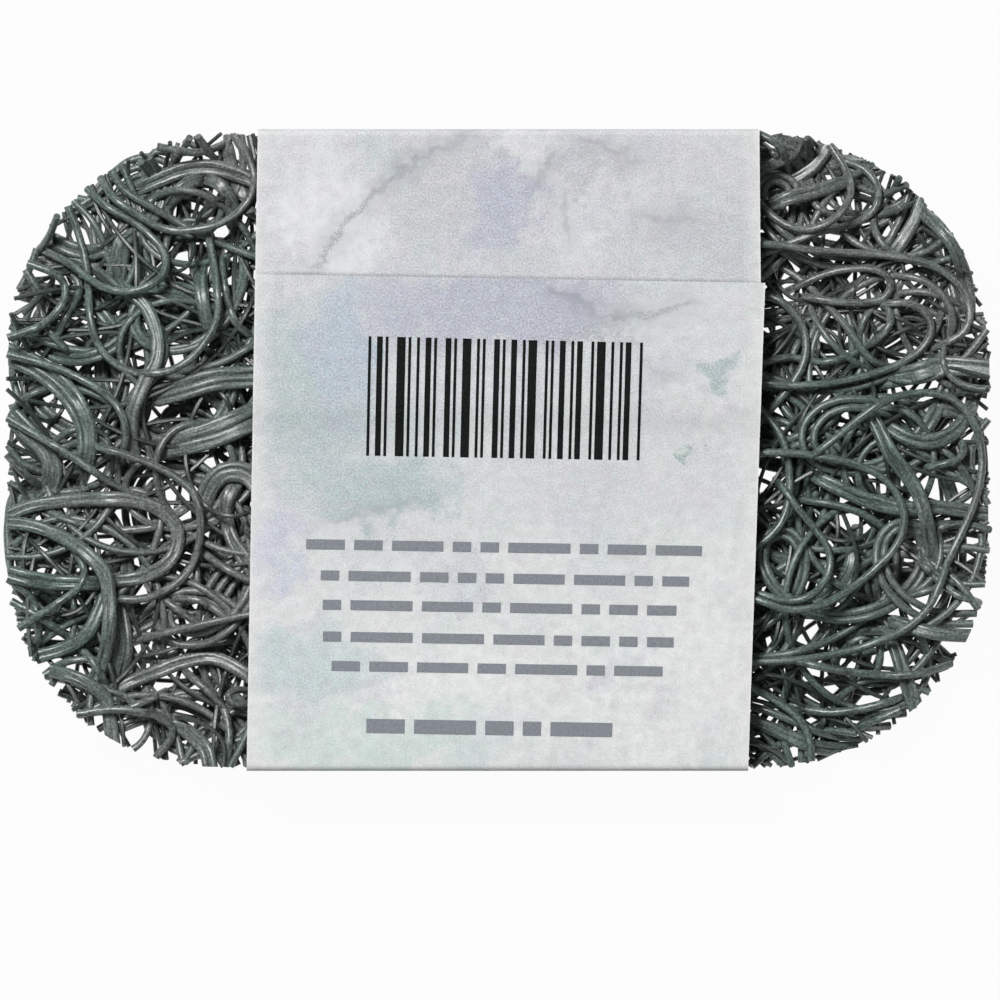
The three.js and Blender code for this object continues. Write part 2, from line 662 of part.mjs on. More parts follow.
function sleeveGeometry() {
  const positions = [];
  const walked = [0];
  for (let i = 1; i < paperPath.length; i++) {
    const [from, to] = [paperPath[i - 1], paperPath[i]];
    walked.push(walked[i - 1] + Math.hypot(to.y - from.y, to.z - from.z));
  }
  paperPath.forEach(({ y, z, out, atSeam }, i) => {
    for (const side of [-1, 1]) {
      const flare = side > 0 ? flareAt(walked[i], walked.at(-1)) : 0;
      const x = (side * PAPER_WIDTH) / 2 + flare;
      const edgeY = atSeam ? y - skew * x : y;
      for (const depth of [0, PAPER_THICKNESS]) {
        const placedY = edgeY + out[0] * depth;
        positions.push(leaning(x, placedY), placedY, z + out[1] * depth);
      }
    }
  });
  // Each station has its corners in the order left inner, left outer, right inner, right outer.
  const [leftIn, leftOut, rightIn, rightOut] = [0, 1, 2, 3];
  const around = [leftIn, rightIn, rightOut, leftOut];
  const index = [];
  const corners = around.length;
  for (let s = 0; s + 1 < paperPath.length; s++) {
    for (let k = 0; k < corners; k++) {
      const a = s * corners + around[k];
      const b = s * corners + around[(k + 1) % corners];
      index.push(a, a + corners, b, b, a + corners, b + corners);
    }
  }
  const last = (paperPath.length - 1) * corners;
  index.push(leftIn, rightIn, rightOut);
  index.push(leftIn, rightOut, leftOut);
  index.push(last + leftIn, last + rightOut, last + rightIn);
  index.push(last + leftIn, last + leftOut, last + rightOut);
  const geometry = new THREE.BufferGeometry();
  geometry.setAttribute("position", new THREE.Float32BufferAttribute(positions, 3));
  geometry.setIndex(index);
  return geometry;
}

// The glue line lies between the two flaps, beside the seam.
function glueGeometry() {
  const length = PAPER_WIDTH - 2 * GLUE_END_MARGIN;
  const geometry = new THREE.BoxGeometry(length, GLUE_WIDTH, GLUE_THICKNESS);
  geometry.translate(
    0,
    seamY - GLUE_FROM_SEAM - GLUE_WIDTH / 2,
    innerTop + PAPER_THICKNESS + GLUE_CLEARANCE + GLUE_THICKNESS / 2,
  );
  const position = geometry.getAttribute("position");
  for (let i = 0; i < position.count; i++) position.setX(i, leaning(position.getX(i), position.getY(i)));
  return geometry;
}

function pieceOf(name, geometry, material) {
  const mesh = new THREE.Mesh(geometry, material);
  mesh.name = name;
  return mesh;
}

const strandMaterial = new THREE.MeshStandardMaterial({ color: STRAND_COLOUR, roughness: 0.55 });
const paperMaterial = new THREE.MeshStandardMaterial({ color: PAPER_COLOUR, roughness: 0.85 });
const glueMaterial = new THREE.MeshStandardMaterial({ color: GLUE_COLOUR, roughness: 0.4 });

const mat = new THREE.Group();
for (const strand of strands) mat.add(pieceOf(strand.name, strandGeometry(strand), strandMaterial));

const sleeve = new THREE.Group();
sleeve.add(pieceOf("paper_sleeve", sleeveGeometry(), paperMaterial));
sleeve.add(pieceOf("glue_line", glueGeometry(), glueMaterial));

const soapSaver = new THREE.Group();
soapSaver.add(mat, sleeve);

export default soapSaver;
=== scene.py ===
# %% [markdown]
# A soap saver
# ------------
# The object is an open mat of looped PVC strands with a paper sleeve round its middle. A bar of soap
# rests on the mat and dries. The solids from the CAD step come in first, and they set every size and
# place. This file gives them their looks: round strands where the solids are six-sided, the finer
# strands that fill the mat, the paper's folds and its watercolour wash, and plain printed marks.

# %% Load the solids and keep their box
import math
import random
from bisect import bisect_left

import bmesh
import bpy
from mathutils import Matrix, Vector, kdtree, noise


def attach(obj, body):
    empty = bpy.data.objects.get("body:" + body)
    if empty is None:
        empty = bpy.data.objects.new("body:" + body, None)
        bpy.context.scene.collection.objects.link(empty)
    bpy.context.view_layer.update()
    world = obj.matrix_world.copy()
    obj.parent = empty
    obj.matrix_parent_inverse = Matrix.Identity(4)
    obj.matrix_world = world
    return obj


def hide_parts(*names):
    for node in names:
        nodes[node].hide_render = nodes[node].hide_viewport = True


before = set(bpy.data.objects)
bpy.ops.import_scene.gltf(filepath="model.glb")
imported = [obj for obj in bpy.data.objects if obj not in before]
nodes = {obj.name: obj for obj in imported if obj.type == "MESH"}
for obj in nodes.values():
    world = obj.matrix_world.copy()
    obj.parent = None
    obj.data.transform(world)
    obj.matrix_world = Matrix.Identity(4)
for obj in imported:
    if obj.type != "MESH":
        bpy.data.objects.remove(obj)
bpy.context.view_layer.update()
MM = 0.001

# %% [markdown]
# Sizes
# -----
# The looks are drawn in millimetres, with the same driving sizes as the solids: the die's outline, the
# strand and the sleeve. Everything is turned to metres only when a mesh is made.

# %% Driving sizes in millimetres
MAT_LENGTH = 118
MAT_WIDTH = 76
MAT_CORNER_RADIUS = 27
MAT_BASE = 0.4
MAT_TOP = 10.4
STRAND_RADIUS = 0.55
STRAND_PITCH = 1.1 * 0.86
ROUND_RADIUS = STRAND_RADIUS * math.cos(math.radians(30))
ROUND_PITCH = 2 * ROUND_RADIUS * 0.86
PAPER_WIDTH = 60
PAPER_THICKNESS = 0.25
SLEEVE_HALF_WIDTH = 38.15
SLEEVE_INNER_BOTTOM = 0.25
SLEEVE_INNER_TOP = 10.55
FOLD_RADIUS = 0.6
SEAM_Y = 20.5
FLAP_EDGE_Y = 7.5
FLAP_LIFT = 0.5
FLAP_RISE = 4
SLEEVE_SKEW = math.tan(math.radians(1))
SLEEVE_OFFSET = 0.6
SEAM_END_FLARE = 1
FLAP_END_FLARE = 0.8

# %% [markdown]
# Small helpers
# -------------
# Colours are written as the hex numbers that a colour picker shows, which are sRGB. Shaders work in
# linear light, so one function turns them. A second one adds a shader node with its settings and its
# inputs, which go by name, or by number as i0, i1 and i2. The nodes that most materials need get a
# short function each, so that a material reads like a recipe.

# %% Colour and shader node helpers
def colour(hex_code):
    channels = [int(hex_code[i : i + 2], 16) / 255 for i in (0, 2, 4)]
    linear = [c / 12.92 if c <= 0.04045 else ((c + 0.055) / 1.055) ** 2.4 for c in channels]
    return (*linear, 1)


def add_node(tree, kind, settings=None, **inputs):
    made = tree.nodes.new(kind)
    for name, value in (settings or {}).items():
        setattr(made, name, value)
    for name, value in inputs.items():
        numbered = name[0] == "i" and name[1:].isdigit()
        socket = made.inputs[int(name[1:]) if numbered else name.replace("_", " ")]
        if isinstance(value, bpy.types.NodeSocket):
            tree.links.new(value, socket)
        else:
            socket.default_value = value
    return made


# %% Nodes that most materials need
def maths(tree, operation, *values, clamp=False):
    settings = {"operation": operation, "use_clamp": clamp}
    inputs = {f"i{k}": value for k, value in enumerate(values)}
    return add_node(tree, "ShaderNodeMath", settings, **inputs).outputs[0]


def vector_maths(tree, operation, *values):
    inputs = {f"i{k}": value for k, value in enumerate(values)}
    return add_node(tree, "ShaderNodeVectorMath", {"operation": operation}, **inputs).outputs[0]


def ranged(tree, value, low, high, start=0.0, end=1.0, kind="LINEAR"):
    settings = {"interpolation_type": kind}
    limits = {"i1": low, "i2": high, "i3": start, "i4": end}
    return add_node(tree, "ShaderNodeMapRange", settings, i0=value, **limits).outputs[0]


def mixed(tree, share, first, second, kind="MIX"):
    settings = {"data_type": "RGBA", "blend_type": kind}
    return add_node(tree, "ShaderNodeMix", settings, i0=share, i6=first, i7=second).outputs[2]


def noise_at(tree, place, scale, detail=2.0, roughness=0.5):
    inputs = {"Vector": place, "Scale": scale, "Detail": detail, "Roughness": roughness}
    return add_node(tree, "ShaderNodeTexNoise", **inputs).outputs[0]


# %% Start and finish a material
BUMP_DEPTH = 0.0001


def new_material(name):
    material = bpy.data.materials.new(name)
    material.use_nodes = True
    tree = material.node_tree
    shader = next(n for n in tree.nodes if n.type == "BSDF_PRINCIPLED")
    return material, tree, shader


def finish_surface(tree, shader, base, relief, strength, roughness, specular):
    bump = add_node(tree, "ShaderNodeBump", Strength=strength, Distance=BUMP_DEPTH, Height=relief)
    tree.links.new(base, shader.inputs["Base Color"])
    tree.links.new(bump.outputs[0], shader.inputs["Normal"])
    shader.inputs["Roughness"].default_value = roughness
    shader.inputs["Specular IOR Level"].default_value = specular


# %% [markdown]
# Camera, floor and light
# -----------------------
# The object is seen straight from above, with a long lens, so that the mat's edge and its top keep
# almost the same scale. The floor is white paper. It looks white through the mat's gaps too, because
# most of what the camera sees of it is plain white, and the rest keeps the object's soft shadow. One
# soft box high at the upper left gives each strand a lit and a dark side. Weak boxes at the other sides
# and the room round it keep the depths from going black. A small box near the first one shows only in
# the sheen: it draws the thin pale line along each crown, and it doesn't light the depths.

# %% Camera straight above the mat
PICTURE_WIDTH = 119.7
PICTURE_CENTRE = (0.24, -5.98)
FRAMED_HEIGHT = 10
LENS = 300
SENSOR = 36
camera_height = FRAMED_HEIGHT + PICTURE_WIDTH * LENS / SENSOR
bpy.ops.object.select_all(action="DESELECT")
bpy.ops.object.camera_add(
    location=(PICTURE_CENTRE[0] * MM, PICTURE_CENTRE[1] * MM, camera_height * MM), rotation=(0, 0, 0)
)
camera = bpy.context.object
camera.data.lens = LENS
camera.data.sensor_width = SENSOR
camera.data.clip_start = 0.01
bpy.context.scene.camera = camera
bpy.context.scene.view_settings.view_transform = "Standard"
print("camera", round(camera_height), "mm above the floor")

# %% Floor
bpy.ops.mesh.primitive_plane_add(size=4, location=(0, 0, -0.0002))
floor = bpy.context.object
floor.name = "floor"


def white_to_the_eye(tree, lit, share):
    rays = add_node(tree, "ShaderNodeLightPath")
    seen = maths(tree, "MAXIMUM", rays.outputs["Is Camera Ray"], rays.outputs["Is Glossy Ray"])
    part = maths(tree, "MULTIPLY", seen, share)
    white = add_node(tree, "ShaderNodeEmission", Color=(1, 1, 1, 1), Strength=1.0)
    return add_node(tree, "ShaderNodeMixShader", Fac=part, i1=lit, i2=white.outputs[0]).outputs[0]


WHITE_SHARE = 0.96
floor_material, tree, shader = new_material("white backdrop paper")
shader.inputs["Base Color"].default_value = colour("b4b4b4")
shader.inputs["Roughness"].default_value = 0.9
output = next(n for n in tree.nodes if n.type == "OUTPUT_MATERIAL")
white_floor = white_to_the_eye(tree, shader.outputs[0], WHITE_SHARE)
tree.links.new(white_floor, output.inputs["Surface"])
floor.data.materials.append(floor_material)

# %% World and lamps
world = bpy.data.worlds.new("bright room")
bpy.context.scene.world = world
world.use_nodes = True
tree = world.node_tree
room = next(n for n in tree.nodes if n.type == "BACKGROUND")
room.inputs["Color"].default_value = (0.97, 0.98, 1, 1)
room.inputs["Strength"].default_value = 0.1
plain = add_node(tree, "ShaderNodeBackground", Color=(1, 1, 1, 1), Strength=1.0)
rays = add_node(tree, "ShaderNodeLightPath")
to_the_camera = rays.outputs["Is Camera Ray"]
both = add_node(tree, "ShaderNodeMixShader", Fac=to_the_camera, i1=room.outputs[0], i2=plain.outputs[0])
output = next(n for n in tree.nodes if n.type == "OUTPUT_WORLD")
tree.links.new(both.outputs[0], output.inputs["Surface"])


def soft_box(name, place, size, power):
    bpy.ops.object.light_add(type="AREA", location=place)
    lamp = bpy.context.object
    lamp.name = name
    lamp.data.shape = "DISK"
    lamp.data.size = size
    lamp.data.energy = power
    lamp.rotation_euler = (Vector((0, 0, 0)) - Vector(place)).to_track_quat("-Z", "Y").to_euler()
    lamp.visible_glossy = False
    return lamp


soft_box("soft box at the upper left", (-0.32, 0.5, 0.88), 0.3, 10.6)
soft_box("weak box in front", (0.1, -0.8, 0.45), 0.35, 0.8)
soft_box("weak box at the left", (-0.85, -0.1, 0.5), 0.35, 0.5)
soft_box("weak box at the right", (0.85, 0.15, 0.45), 0.35, 0.5)
sheen_box = soft_box("small box for the sheen", (-0.26, 0.4, 0.95), 0.2, 10.0)
sheen_box.visible_glossy = True
sheen_box.visible_diffuse = False

# %% [markdown]
# Where the strands run
# ---------------------
# Each solid of a strand is a row of six-cornered rings. Walking from one flat end to the other, ring by
# ring, gives back the line down its middle. The walk starts at the corner from which the flat end is
# fanned out, the only one that seven triangles share. A ribbon of two, three or four strands fused side
# by side is wider, so its width tells how many round strands it needs. This way the fine strands lie
# exactly where the solids do, whatever their sizes. Each ring is sorted before it is summed, because a
# set has no order, and the last digit of a sum depends on it.

# %% Read the middle line of each strand solid
RING_CORNERS = 6
SIDE_CORNER_FACES = 6
FAN_CORNER_FACES = 7


def middle_line(node):
    cut = bmesh.new()
    cut.from_mesh(node.data)
    bmesh.ops.remove_doubles(cut, verts=cut.verts, dist=1e-6)
    cut.verts.index_update()
    apex = next(v for v in cut.verts if len(v.link_faces) == FAN_CORNER_FACES)
    beside = [e.other_vert(apex) for e in apex.link_edges]
    rings = [{apex, *(v for v in beside if len(v.link_faces) != SIDE_CORNER_FACES)}]
    seen = set(rings[0])
    while True:
        following = {e.other_vert(v) for v in rings[-1] for e in v.link_edges} - seen
        if not following:
            break
        rings.append(following)
        seen |= following
    uneven = [len(r) for r in rings if len(r) != RING_CORNERS]
    points = [[v.co / MM for v in sorted(ring, key=lambda v: v.index)] for ring in rings]
    cut.free()
    if uneven:
        raise ValueError(f"{node.name} has rings of {uneven} corners")
    middle = [sum(ring, Vector()) / RING_CORNERS for ring in points]
    inside = len(middle) // 2
    across = across_at(middle, inside)
    half_width = max(abs((p - middle[inside]).dot(across)) for p in points[inside])
    count = round(2 * (half_width - STRAND_RADIUS) / STRAND_PITCH) + 1
    return middle, count


def across_at(line, i):
    along = line[min(i + 1, len(line) - 1)] - line[max(i - 1, 0)]
    return Vector((along.y, -along.x, 0)).normalized()


strand_nodes = sorted(n for n in nodes if "strand" in n)
middle_lines = {n: middle_line(nodes[n]) for n in strand_nodes}
round_count = sum(count for _, count in middle_lines.values())
print(len(strand_nodes), "strand solids,", round_count, "round strands in them")

# %% [markdown]
# The die's outline
# -----------------
# The mat is cut from a wide sheet, so strands end wherever the blade met them. A signed distance to the
# rounded rectangle says how far outside a point is. Ends that come near the outline are slid along
# their own direction until they lie on it. The blade left the lower left corner a little fuller.

# %% Outline helpers
LOWER_LEFT_RADIUS = 25
SLIDE_REACH = 2.2
HALVINGS = 24


def past_corner_centre(x, y):
    radius = LOWER_LEFT_RADIUS if x < 0 and y < 0 else MAT_CORNER_RADIUS
    return abs(x) - (MAT_LENGTH / 2 - radius), abs(y) - (MAT_WIDTH / 2 - radius), radius


def outside(x, y):
    dx, dy, radius = past_corner_centre(x, y)
    return math.hypot(max(dx, 0), max(dy, 0)) + min(max(dx, dy), 0) - radius


def slide_to_outline(point, direction):
    low, high = -SLIDE_REACH, SLIDE_REACH
    at = lambda t: outside(point.x + direction.x * t, point.y + direction.y * t)
    if at(low) > 0 or at(high) < 0:
        return point
    for _ in range(HALVINGS):
        middle = (low + high) / 2
        if at(middle) < 0:
            low = middle
        else:
            high = middle
    return point + direction * low


def finish_ends(line):
    line = [p.copy() for p in line]
    for end, before in ((0, 1), (-1, -2)):
        direction = line[end] - line[before]
        direction.z = 0
        line[end] = slide_to_outline(line[end], direction.normalized())
    return line


# %% A smooth line through a few points
def dense_line(line, spacing=0.8):
    dense = []
    for i, (a, b) in enumerate(zip(line, line[1:])):
        before, after = line[max(i - 1, 0)], line[min(i + 2, len(line) - 1)]
        parts = max(1, round((b - a).length / spacing))
        for k in range(parts):
            t = k / parts
            straight = 2 * a + (b - before) * t
            square = (2 * before - 5 * a + 4 * b - after) * t * t
            cube = (3 * a - before - 3 * b + after) * t**3
            dense.append(0.5 * (straight + square + cube))
    return dense + [line[-1].copy()]


# %% [markdown]
# Round strands
# -------------
# A strand is soft plastic squeezed through a round nozzle. A Bezier curve through the middle line, with
# a round bevel, is such a strand. It is the circle that fits inside the solid's six-sided section, and
# its thickness wavers a little, as it does when a strand is drawn out. Filled caps are the flat faces
# that the die leaves. The curves are made meshes at the end. Their map goes round the strand and along
# it, and is scaled so that one unit is ten millimetres both ways.

# %% Make round strands from middle lines
BEVEL_RESOLUTION = 3
STEPS_PER_SPAN = 4
THICKNESS_WAVER = 0.05
MAP_UNIT = 10
SMOOTH_ANGLE = math.radians(50)


def active_piece(name, data):
    piece = bpy.data.objects.new(name, data)
    bpy.context.scene.collection.objects.link(piece)
    bpy.ops.object.select_all(action="DESELECT")
    piece.select_set(True)
    bpy.context.view_layer.objects.active = piece
    return piece


def round_strands(name, lines, seed, radius=ROUND_RADIUS, steps=STEPS_PER_SPAN, sides=BEVEL_RESOLUTION):
    chance = random.Random(seed)
    curve = bpy.data.curves.new(name, "CURVE")
    curve.dimensions = "3D"
    curve.bevel_depth = radius * MM
    curve.bevel_resolution = sides
    curve.use_fill_caps = True
    curve.resolution_u = steps
    for line in lines:
        spline = curve.splines.new("BEZIER")
        spline.bezier_points.add(len(line) - 1)
        for knot, place in zip(spline.bezier_points, line):
            knot.co = place * MM
            knot.handle_left_type = knot.handle_right_type = "AUTO"
            knot.radius = 1 + THICKNESS_WAVER * chance.uniform(-1, 1)
    active_piece(name, curve)
    bpy.ops.object.convert(target="MESH")
    piece = bpy.context.object
    bpy.ops.object.shade_smooth_by_angle(angle=SMOOTH_ANGLE)
    lengths = [sum((b - a).length for a, b in zip(line, line[1:])) for line in lines]
    for corner in piece.data.uv_layers.active.data:
        corner.uv.x *= 2 * math.pi * radius / MAP_UNIT
        corner.uv.y *= sum(lengths) / len(lengths) / MAP_UNIT
    return piece


# %% [markdown]
# Ends inside the mat
# -------------------
# A strand that doesn't reach the blade's cut ends somewhere inside the mat, under its neighbours. Such
# an end drops, and two more points carry it down and out of sight. In a ribbon the strands gather
# there. The strands at the bottom weren't fused, so a wide solid stands for loose ones, side by side.

# %% Ends that dive under their neighbours
CUT_MARGIN = 1.2
TUCK_LENGTH = 0.9
TUCK_DEPTH = 2.4
TIP_DROPS = (1.0, 0.35)
GATHERING = (0.3, 0.6)


def was_cut(place):
    return outside(place.x, place.y) > -CUT_MARGIN


def tucked_end(line, end):
    tip, before = (line[0], line[1]) if end == 0 else (line[-1], line[-2])
    if was_cut(tip):
        return []
    along = tip - before
    along.z = 0
    along.normalize()
    first = tip + along * 0.5 * TUCK_LENGTH - Vector((0, 0, 0.6 * TUCK_DEPTH))
    second = first + along * TUCK_LENGTH - Vector((0, 0, TUCK_DEPTH))
    for place in (first, second):
        place.z = max(place.z, MAT_BASE + ROUND_RADIUS)
    return [first, second]


def with_tucked_ends(line):
    line = [p.copy() for p in line]
    for end, step in ((0, 1), (-1, -1)):
        if not was_cut(line[end]):
            for k, drop in enumerate(TIP_DROPS[: len(line) // 2]):
                place = line[end + step * k]
                place.z = max(place.z - drop, MAT_BASE + ROUND_RADIUS)
    start, finish = tucked_end(line, 0), tucked_end(line, 1)
    whole = start[::-1] + line + finish
    gather = [1.0] * len(whole)
    for k, share in enumerate(GATHERING[: len(start)]):
        gather[k] = share
    for k, share in enumerate(GATHERING[: len(finish)]):
        gather[-1 - k] = share
    return whole, gather


# %% Loose strands side by side
LOOSE_SPREAD = 1.25
LOOSE_DRIFT = 0.7


def loose_beside(line, count, seed):
    whole, _ = with_tucked_ends(line)
    strands = []
    for k in range(count):
        strand = []
        for i, place in enumerate(whole):
            drift = noise.noise(Vector((seed * 3.7, k * 5.1, i * 0.22)))
            shift = (k - (count - 1) / 2) * LOOSE_SPREAD * ROUND_PITCH + LOOSE_DRIFT * drift
            strand.append(place + across_at(whole, i) * shift)
        strands.append(finish_ends(strand))
    return strands


# %% [markdown]
# Ribbons
# -------
# Strands that left the nozzles side by side are fused to a ribbon: a row of crowns with shallow grooves.
# The crowns come closer and drift apart along the way. A round bevel can't draw that section, so a
# ribbon is skinned ring by ring. Its height at a spot is a soft sum of the crowns' heights there, which
# fills each groove most of the way (less so in a pair), and a thin web joins crowns that stand apart.
# A ribbon of three or four strands has two halves, and the groove between them tears open to a slit
# here and there. In a tight bend the crowns draw together, or the inner ones would fold over each other.

# %% The section of a ribbon
EDGE_ANGLES = (180, 152, 122)
WEB_HALF_THICKNESS = 0.15
GROOVE_FILL = 1.4
PAIR_FILL = 2.1


def ribbon_section(crowns, radius, fill):
    spots = [crowns[0] + radius * math.cos(math.radians(a)) for a in EDGE_ANGLES]
    for left, right in zip(crowns, crowns[1:]):
        spots += [left + (right - left) * k / 4 for k in range(4)]
    spots.append(crowns[-1])
    spots += [crowns[-1] - radius * math.cos(math.radians(a)) for a in reversed(EDGE_ANGLES)]
    top = []
    for spot in spots:
        heights = [math.sqrt(max(radius**2 - (spot - c) ** 2, 0)) for c in crowns]
        height = min(sum(h**fill for h in heights) ** (1 / fill), radius)
        if crowns[0] < spot < crowns[-1]:
            height = max(height, WEB_HALF_THICKNESS)
        top.append((spot, height))
    return top + [(spot, -height) for spot, height in reversed(top[1:-1])]


# %% Where the crowns of a ribbon run
CROWN_GAP = 1.02
CROWN_DRIFT = 0.5
SLIT = 1.8
BEND_ROOM = 0.85


def trimmed(place):
    over = outside(place.x, place.y)
    if over <= 0:
        return place
    dx, dy, _ = past_corner_centre(place.x, place.y)
    way = Vector((max(dx, 0), max(dy, 0))).normalized()
    return place - Vector((math.copysign(way.x * over, place.x), math.copysign(way.y * over, place.y), 0))


def crown_places(count, travelled, seed, gather):
    places = [0.0]
    for k in range(count - 1):
        drift = noise.noise(Vector((seed * 2.3 + 9 * k, travelled * 0.09, 0.5)))
        gap = ROUND_PITCH * (CROWN_GAP + CROWN_DRIFT * drift)
        if k == count // 2 - 1 and count > 2:
            gap += SLIT * max(0.0, noise.noise(Vector((seed * 4.9, travelled * 0.07, 2.5))))
        places.append(places[-1] + gap * gather)
    middle = places[-1] / 2
    return [p - middle for p in places]


def room_in_bends(places, count):
    half_width = (count - 1) / 2 * 1.2 * ROUND_PITCH + ROUND_RADIUS
    room = []
    for i, place in enumerate(places):
        into = (place - places[max(i - 2, 0)]).to_2d()
        out_of = (places[min(i + 2, len(places) - 1)] - place).to_2d()
        if min(into.length, out_of.length) < 0.1:
            room.append(1.0)
            continue
        bend = (into.length + out_of.length) / 2 / max(abs(into.angle(out_of)), 0.01)
        room.append(min(1.0, BEND_ROOM * bend / half_width))
    return [min(room[max(i - 2, 0) : i + 3]) for i in range(len(room))]


# %% Skin a ribbon ring by ring
MOST_ROLL = 0.5
RING_SPACING = 0.8
GIRTH_WAVER = 0.1


def skin(drawing, rings, walks, girth, seed):
    strand_map = drawing.loops.layers.uv.active
    around = len(rings[0])
    for r in range(len(rings) - 1):
        for k in range(around):
            corners = [(r, k), (r, k + 1), (r + 1, k + 1), (r + 1, k)]
            face = drawing.faces.new([rings[row][column % around] for row, column in corners])
            for corner, (row, column) in zip(face.loops, corners):
                around_it, along_it = girth * column / around, walks[row] + 7 * seed
                corner[strand_map].uv = (around_it / MAP_UNIT, along_it / MAP_UNIT)
    drawing.faces.new(rings[0])
    drawing.faces.new(rings[-1])


def add_ribbon(drawing, line, count, seed):
    whole, gather = with_tucked_ends(line)
    marked = [Vector((*p, g)) for p, g in zip(whole, gather)]
    dense = dense_line(marked, RING_SPACING)
    places = [p.to_3d() for p in dense]
    room = room_in_bends(places, count)
    cut = [was_cut(places[0]), was_cut(places[-1])]
    halves = (slice(0, count // 2), slice(count // 2, count)) if count > 2 else (slice(0, count),)
    fill = GROOVE_FILL if count > 2 else PAIR_FILL
    rings, walks, travelled = [[] for _ in halves], [], 0.0
    for i, place in enumerate(places):
        along = (places[min(i + 1, len(places) - 1)] - places[max(i - 1, 0)]).normalized()
        across = Vector((along.y, -along.x, 0)).normalized()
        roll = MOST_ROLL * noise.noise(Vector((seed * 7.3, travelled * 0.06, 4.0)))
        across = across * math.cos(roll) + across.cross(along) * math.sin(roll)
        up = across.cross(along)
        waver = noise.noise(Vector((seed * 1.7, travelled * 0.2, 7.0)))
        radius = ROUND_RADIUS * (1 + GIRTH_WAVER * waver)
        crowns = crown_places(count, travelled, seed, min(max(dense[i].w * room[i], 0.3), 1.0))
        blade = Vector((along.x, along.y, 0)).normalized()
        at_cut = (i == 0 and cut[0]) or (i == len(places) - 1 and cut[1])
        if i:
            travelled += (place - places[i - 1]).length
        walks.append(travelled)
        for half, half_rings in zip(halves, rings):
            ring = [place + across * a + up * h for a, h in ribbon_section(crowns[half], radius, fill)]
            if at_cut:
                ring = [slide_to_outline(corner, blade) for corner in ring]
            half_rings.append([drawing.verts.new(trimmed(corner) * MM) for corner in ring])
    for order, half_rings in enumerate(rings):
        skin(drawing, half_rings, walks, (count + 2) * 2 * ROUND_RADIUS, seed + 0.5 * order)


def ribbons(name, lines):
    drawing = bmesh.new()
    drawing.loops.layers.uv.new("UVMap")
    for seed, (line, count) in enumerate(lines):
        add_ribbon(drawing, line, count, seed + len(name) * 0.37)
    bmesh.ops.recalc_face_normals(drawing, faces=drawing.faces)
    ribbon_mesh = bpy.data.meshes.new(name)
    drawing.to_mesh(ribbon_mesh)
    drawing.free()
    piece = active_piece(name, ribbon_mesh)
    bpy.ops.object.shade_smooth_by_angle(angle=SMOOTH_ANGLE)
    return piece


# %% One fine piece for each strand solid
mat_pieces = []
for order, name in enumerate(strand_nodes):
    line, count = middle_lines[name]
    fine_name = name.replace("_strand_", "_round_strand_")
    if name.startswith(("base", "cover")):
        piece = round_strands(fine_name, loose_beside(line, count, order), order)
    elif count == 1:
        piece = round_strands(fine_name, [finish_ends(with_tucked_ends(line)[0])], order)
    else:
        piece = ribbons(fine_name, [(line, count)])
    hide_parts(name)
    mat_pieces.append(piece)
print(sum(len(p.data.polygons) for p in mat_pieces), "faces in the strands that stand for solids")
